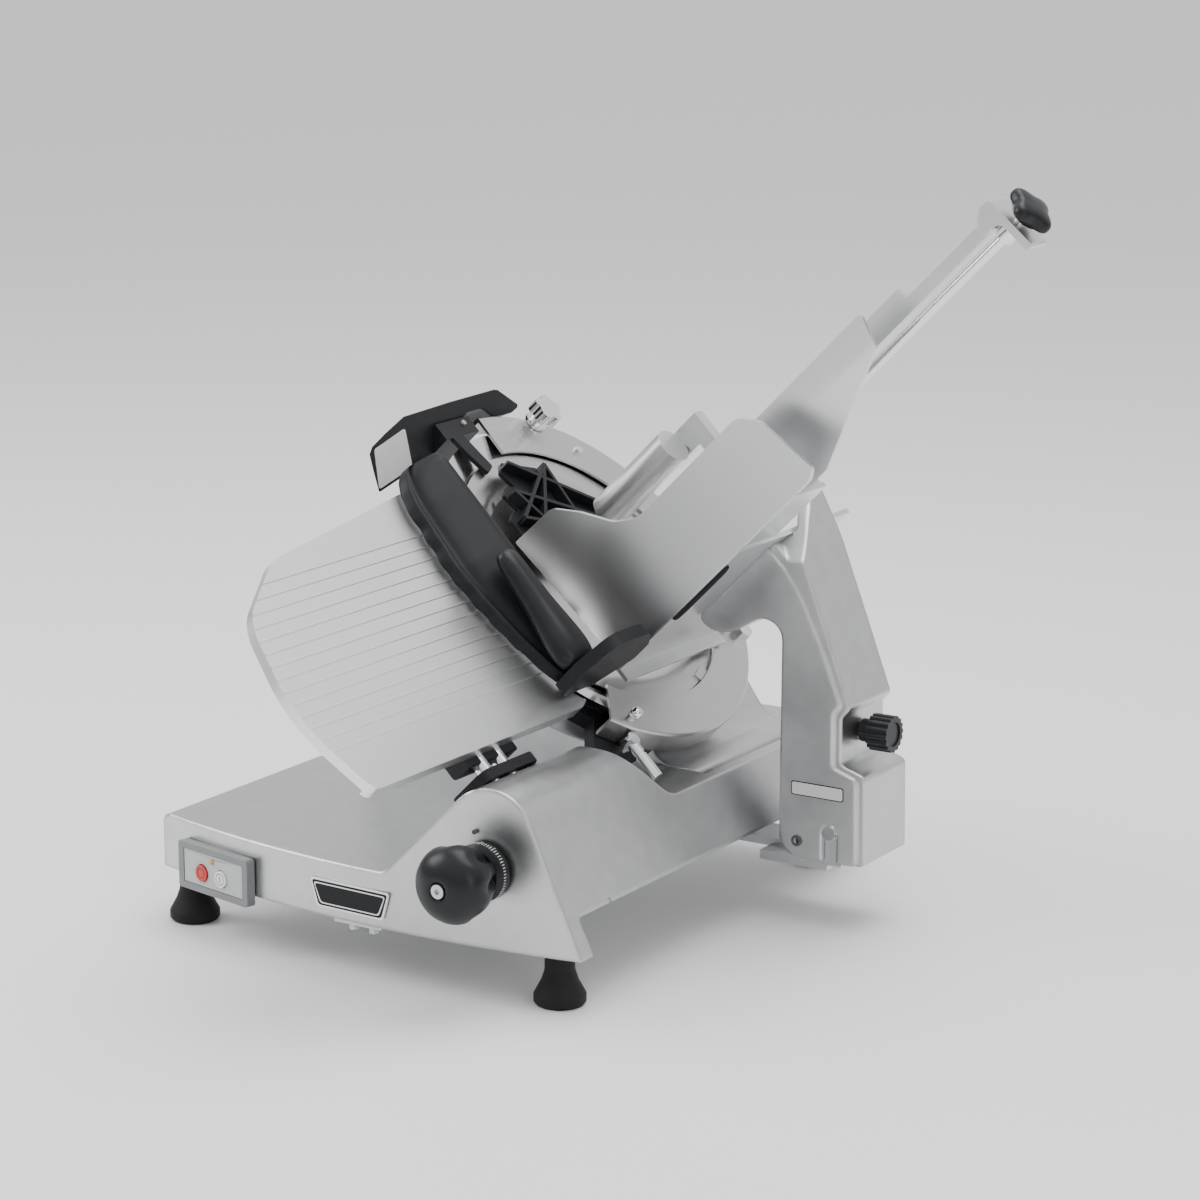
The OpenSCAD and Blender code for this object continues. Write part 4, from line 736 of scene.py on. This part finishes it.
# %% [markdown]
# The rod's end carries a four-lobed knob of black plastic, domed on top so it is kind to
# the palm. The lobes are a wave on the ring's radius.

# %% Rod knob
ROD_A, ROD_B, BAR_END = 21, -46, 535
across_a, up_b = plane_axes @ Vector((1, 0, 0)), plane_axes @ Vector((0, 1, 0))
lobe_shape = [
    (8, 10, 0), (9, 13, 0.3), (11.5, 14.5, 0.6), (12.5, 17.5, 2.4), (14, 19.6, 3.2),
    (18, 20.0, 3.4), (22, 19.3, 3.2), (24.6, 16.8, 2.4), (26, 11.0, 1.0), (26.3, 4.0, 0.2),
]
lobe_rings = []
for height, radius, wave in lobe_shape:
    centre = on_plane(ROD_A, ROD_B, BAR_END + height)

    def lobe_radius(turn, radius=radius, wave=wave):
        return (radius + wave * math.cos(4 * turn)) * MM

    lobe_rings.append(ring_points(centre, across_a, up_b, lobe_radius, 64))
lobed_knob = loft("lobed_knob", lobe_rings, satin_plastic, "rod_knob")
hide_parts("rod_knob")

# %% [markdown]
# The hand guard is a moulded plate with a broad sloping face. Left of the face runs a
# shallow valley, then a rounded rim whose outer edge is scalloped so that food slides off
# it. One cross-section repeated up the plate, with its width following the outline, gives
# all of these in one skin.

# %% Hand guard
GUARD_LOW, GUARD_HIGH, GUARD_RIGHT = -90, 151, -118
GUARD_BACK = 3.2
guard_edge = [
    (GUARD_LOW, -152), (-74, -161), (-52, -170), (-30, -177), (7, -184), (40, -188),
    (83, -182), (110, -178), (128, -171), (140, -162), (147, -153), (GUARD_HIGH, -143),
]
scallop_low, scallop_high, scallop_pitch, scallop_deep = -66, 102, 24, 2.6


def guard_left(b):
    """The outer edge of the guard at a height up the plane, in millimetres."""
    for (b0, a0), (b1, a1) in zip(guard_edge, guard_edge[1:]):
        if b <= b1:
            return a0 + (a1 - a0) * (b - b0) / (b1 - b0)
    return guard_edge[-1][1]


guard_section = [
    (0.00, GUARD_BACK), (0.00, 6.0), (0.035, 9.0), (0.075, 13.5), (0.12, 15.0), (0.165, 13.5),
    (0.205, 10.0), (0.26, 9.0), (0.31, 11.5), (0.36, 15.5), (0.55, 22.5), (0.76, 29.5), (0.88, 33.0),
    (0.95, 33.6), (1.0, 32.0), (1.0, 28.0), (0.80, 22.0), (0.50, 12.0), (0.30, 5.0), (0.10, GUARD_BACK),
]
section_count = 81
guard_rings = []
for step in range(section_count):
    b = GUARD_LOW + (GUARD_HIGH - GUARD_LOW) * step / (section_count - 1)
    left = guard_left(b)
    scallop = 0.0
    if scallop_low < b < scallop_high:
        wave = math.cos(2 * math.pi * (b - scallop_low) / scallop_pitch)
        scallop = scallop_deep * (0.5 - 0.5 * wave)
    top_end = max(0.0, (b - 138) / 13)
    drop = 1 - 0.35 * top_end ** 2
    ring = []
    for share, height in guard_section:
        low_part = max(0.0, 1 - share / 0.12) if height < 10 else 0.0
        a = left + (GUARD_RIGHT - left) * share + scallop * low_part
        ring.append(on_plane(a, b, GUARD_BACK + (height - GUARD_BACK) * drop))
    guard_rings.append(ring)
scalloped_guard = loft("scalloped_guard", guard_rings, black_plastic, "carriage", 1)
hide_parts("hand_guard")
print("guard", len(guard_rings), "sections")

# %% [markdown]
# The hood over the sharpener is a moulding with a flat right side of bent outline. The rest
# tapers away to the left, so it is skinned between a large outline and a smaller one, then
# its edges are rounded. Outline points are y and the height above the hood's lowest edge.

# %% Sharpener hood
HOOD_NEAR_X, HOOD_FAR_X, HOOD_Z = 116, 72, 381
hood_outline = [
    (178, 0), (170, 20), (164, 37), (168, 43), (188, 52), (217, 63), (290, 65.5), (362, 66.5),
    (368, 65.5), (402, 46.5), (401, 43), (392, 40), (364, 40), (357, 42), (346, 49), (338, 51.5),
    (318, 51), (310, 46), (298, 32), (290, 26), (262, 17), (231, 12),
]
front_y = min(y for y, _ in hood_outline)
hood_long = max(y for y, _ in hood_outline) - front_y
hood_near = [place(HOOD_NEAR_X, y, HOOD_Z + z) for y, z in hood_outline]
hood_far = []
for y, z in hood_outline:
    pushed_back = 64 * (1 - (y - front_y) / hood_long)
    hood_far.append(place(HOOD_FAR_X, y + pushed_back, HOOD_Z + z * 0.94 - 15))
moulded_hood = loft("moulded_hood", [hood_near, hood_far], black_plastic, "sharpener", 0)
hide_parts("sharpener_hood")
break_edges(moulded_hood, 3.0)

# %% [markdown]
# Small plates and stickers share one helper: an outline with rounded corners, given a
# thickness. The sticker on the hood, the one on the arm and the badge stay blank.

# %% Plates and stickers


def plate(name, corners, radius, spot, across, upward, thickness, material, body):
    """A thin plate from corner points in its own plane, with rounded corners."""
    outline = []
    count = len(corners)
    for i, corner in enumerate(corners):
        here = Vector(corner)
        back = (Vector(corners[i - 1]) - here).normalized() * radius
        ahead = (Vector(corners[(i + 1) % count]) - here).normalized() * radius
        for t in (0.0, 0.25, 0.5, 0.75, 1.0):
            outline.append(here + back * (1 - t) ** 2 + ahead * t ** 2)
    out = across.cross(upward).normalized()
    flat = [spot + across * (p.x * MM) + upward * (p.y * MM) for p in outline]
    rings = [[point + out * (height * MM) for point in flat] for height in (0.0, thickness)]
    piece = loft(name, rings, material, body, 0)
    for polygon in piece.data.polygons:
        polygon.use_smooth = False
    return piece


def box_corners(width, height):
    """The four corners of a rectangle round its middle."""
    return [(x * width / 2, y * height / 2) for x, y in ((-1, -1), (1, -1), (1, 1), (-1, 1))]


to_right, to_back, up = Vector((1, 0, 0)), Vector((0, 1, 0)), Vector((0, 0, 1))
sticker_corners = [(178, 384), (229, 396), (218, 433), (171, 421)]
hood_side = place(HOOD_NEAR_X, 0, 0)
plate("hood_sticker", sticker_corners, 3, hood_side, to_back, up, 0.5, sticker_film, "sharpener")
ARM_FRONT = 320
border_spot, arm_spot = place(487.5, ARM_FRONT + 0.1, 127), place(487.5, ARM_FRONT, 127)
plate("arm_border", box_corners(53, 13), 2.5, border_spot, to_right, up, 0.3, black_plastic, "carriage")
plate("arm_sticker", box_corners(51, 11), 2, arm_spot, to_right, up, 0.4, sticker_film, "carriage")

# %% [markdown]
# The front face bows out gently, so things on it sit on a circle. The circle follows from
# the casting's width and bow, as it does in the CAD source.

# %% Badge and button marks
bow_radius, bow_x, bow_y = 969.8, 263.9, 957.4


def on_front(x, z):
    """A point on the bowed front face, and the directions across it and out of it."""
    turn = math.asin((x - bow_x) / bow_radius)
    across = Vector((math.cos(turn), math.sin(turn), 0))
    outward = Vector((math.sin(turn), -math.cos(turn), 0))
    y = bow_y - math.sqrt(bow_radius ** 2 - (x - bow_x) ** 2)
    return place(x, y, z), across, outward


badge_spot, badge_across, badge_out = on_front(218, 71)
trapezoid = [(-36, -12.5), (36, -12.5), (43, 12.5), (-43, 12.5)]
badge_layers = [
    ("badge_rim", 1.0, 0.0, 2.2, plate_metal), ("badge_black", 0.955, 2.1, 0.3, black_plastic),
    ("badge_line", 0.90, 2.3, 0.25, plate_metal), ("badge_face", 0.87, 2.5, 0.25, black_plastic),
]
for name, size, height, thick, material in badge_layers:
    inset = (1 - size) * 38
    shape = [(x - math.copysign(inset, x), y - math.copysign(inset * 0.9, y)) for x, y in trapezoid]
    layer_spot = badge_spot + badge_out * (height * MM)
    layer = plate(name, shape, 3, layer_spot, badge_across, up, thick, material, "base")
    if name == "badge_rim":
        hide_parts("badge_plate")
panel_spot, panel_across, panel_out = on_front(60, 63)
BUTTON_FACE, PRINT_THICK, BUTTON_LOW = 10.0, 0.25, -3
STOP_ACROSS, START_ACROSS = -15, 11


def circle(centre, across, upward, radius, steps):
    """A closed ring of one radius, in millimetres."""
    return ring_points(centre, across, upward, lambda turn: radius * MM, steps)


def ring_mark(name, x, outer, inner, material, body):
    """A thin printed ring on a button's face."""
    centre = panel_spot + panel_across * (x * MM) + up * (BUTTON_LOW * MM)
    top = BUTTON_FACE + PRINT_THICK
    rings = []
    for radius, height in ((outer, BUTTON_FACE), (outer, top), (inner, top), (inner, BUTTON_FACE)):
        rings.append(circle(centre + panel_out * (height * MM), panel_across, up, radius, 40))
    return loft(name, rings, material, body, 0, False)


ring_mark("stop_ring", STOP_ACROSS, 5.0, 4.1, dark_red, "stop_button")
ring_mark("start_ring", START_ACROSS, 5.4, 4.7, grey_plastic, "start_button")
bar_spot = panel_spot + panel_across * (START_ACROSS * MM) + up * (BUTTON_LOW * MM)
bar_spot = bar_spot + panel_out * (BUTTON_FACE * MM)
bar = box_corners(1.1, 5.6)
plate("start_bar", bar, 0.4, bar_spot, panel_across, up, PRINT_THICK, grey_plastic, "start_button")

# %% [markdown]
# A black rubber strip closes the gap between the chute and the arm's top, and a dark socket
# screw sits in the arm's foot.

# %% Seal strip and screw
STRIP_A, STRIP_B = -66, -99.5
strip_section = [(-4, -4.4), (4, -4.4), (5, 0), (4, 3.2), (-4, 3.2), (-5, 0)]
strip_rings = []
for d, full in ((84, 0.6), (88, 1.0), (100, 1.0), (120, 1.0), (140, 1.0), (158, 1.0), (162, 0.6)):
    strip_rings.append([on_plane(STRIP_A + x * full, STRIP_B + y * full, d) for x, y in strip_section])
loft("seal_strip", strip_rings, rubber, "carriage", 1)
screw_rings = []
for depth, radius in ((2.0, 5.0), (-0.8, 5.2), (-1.4, 4.6), (-1.4, 2.8), (1.6, 2.6)):
    screw_rings.append(circle(place(467, ARM_FRONT + depth, 78), to_right, up, radius, 36))
loft("socket_screw", screw_rings, motor_enamel, "carriage", 0)
print("small pieces done")
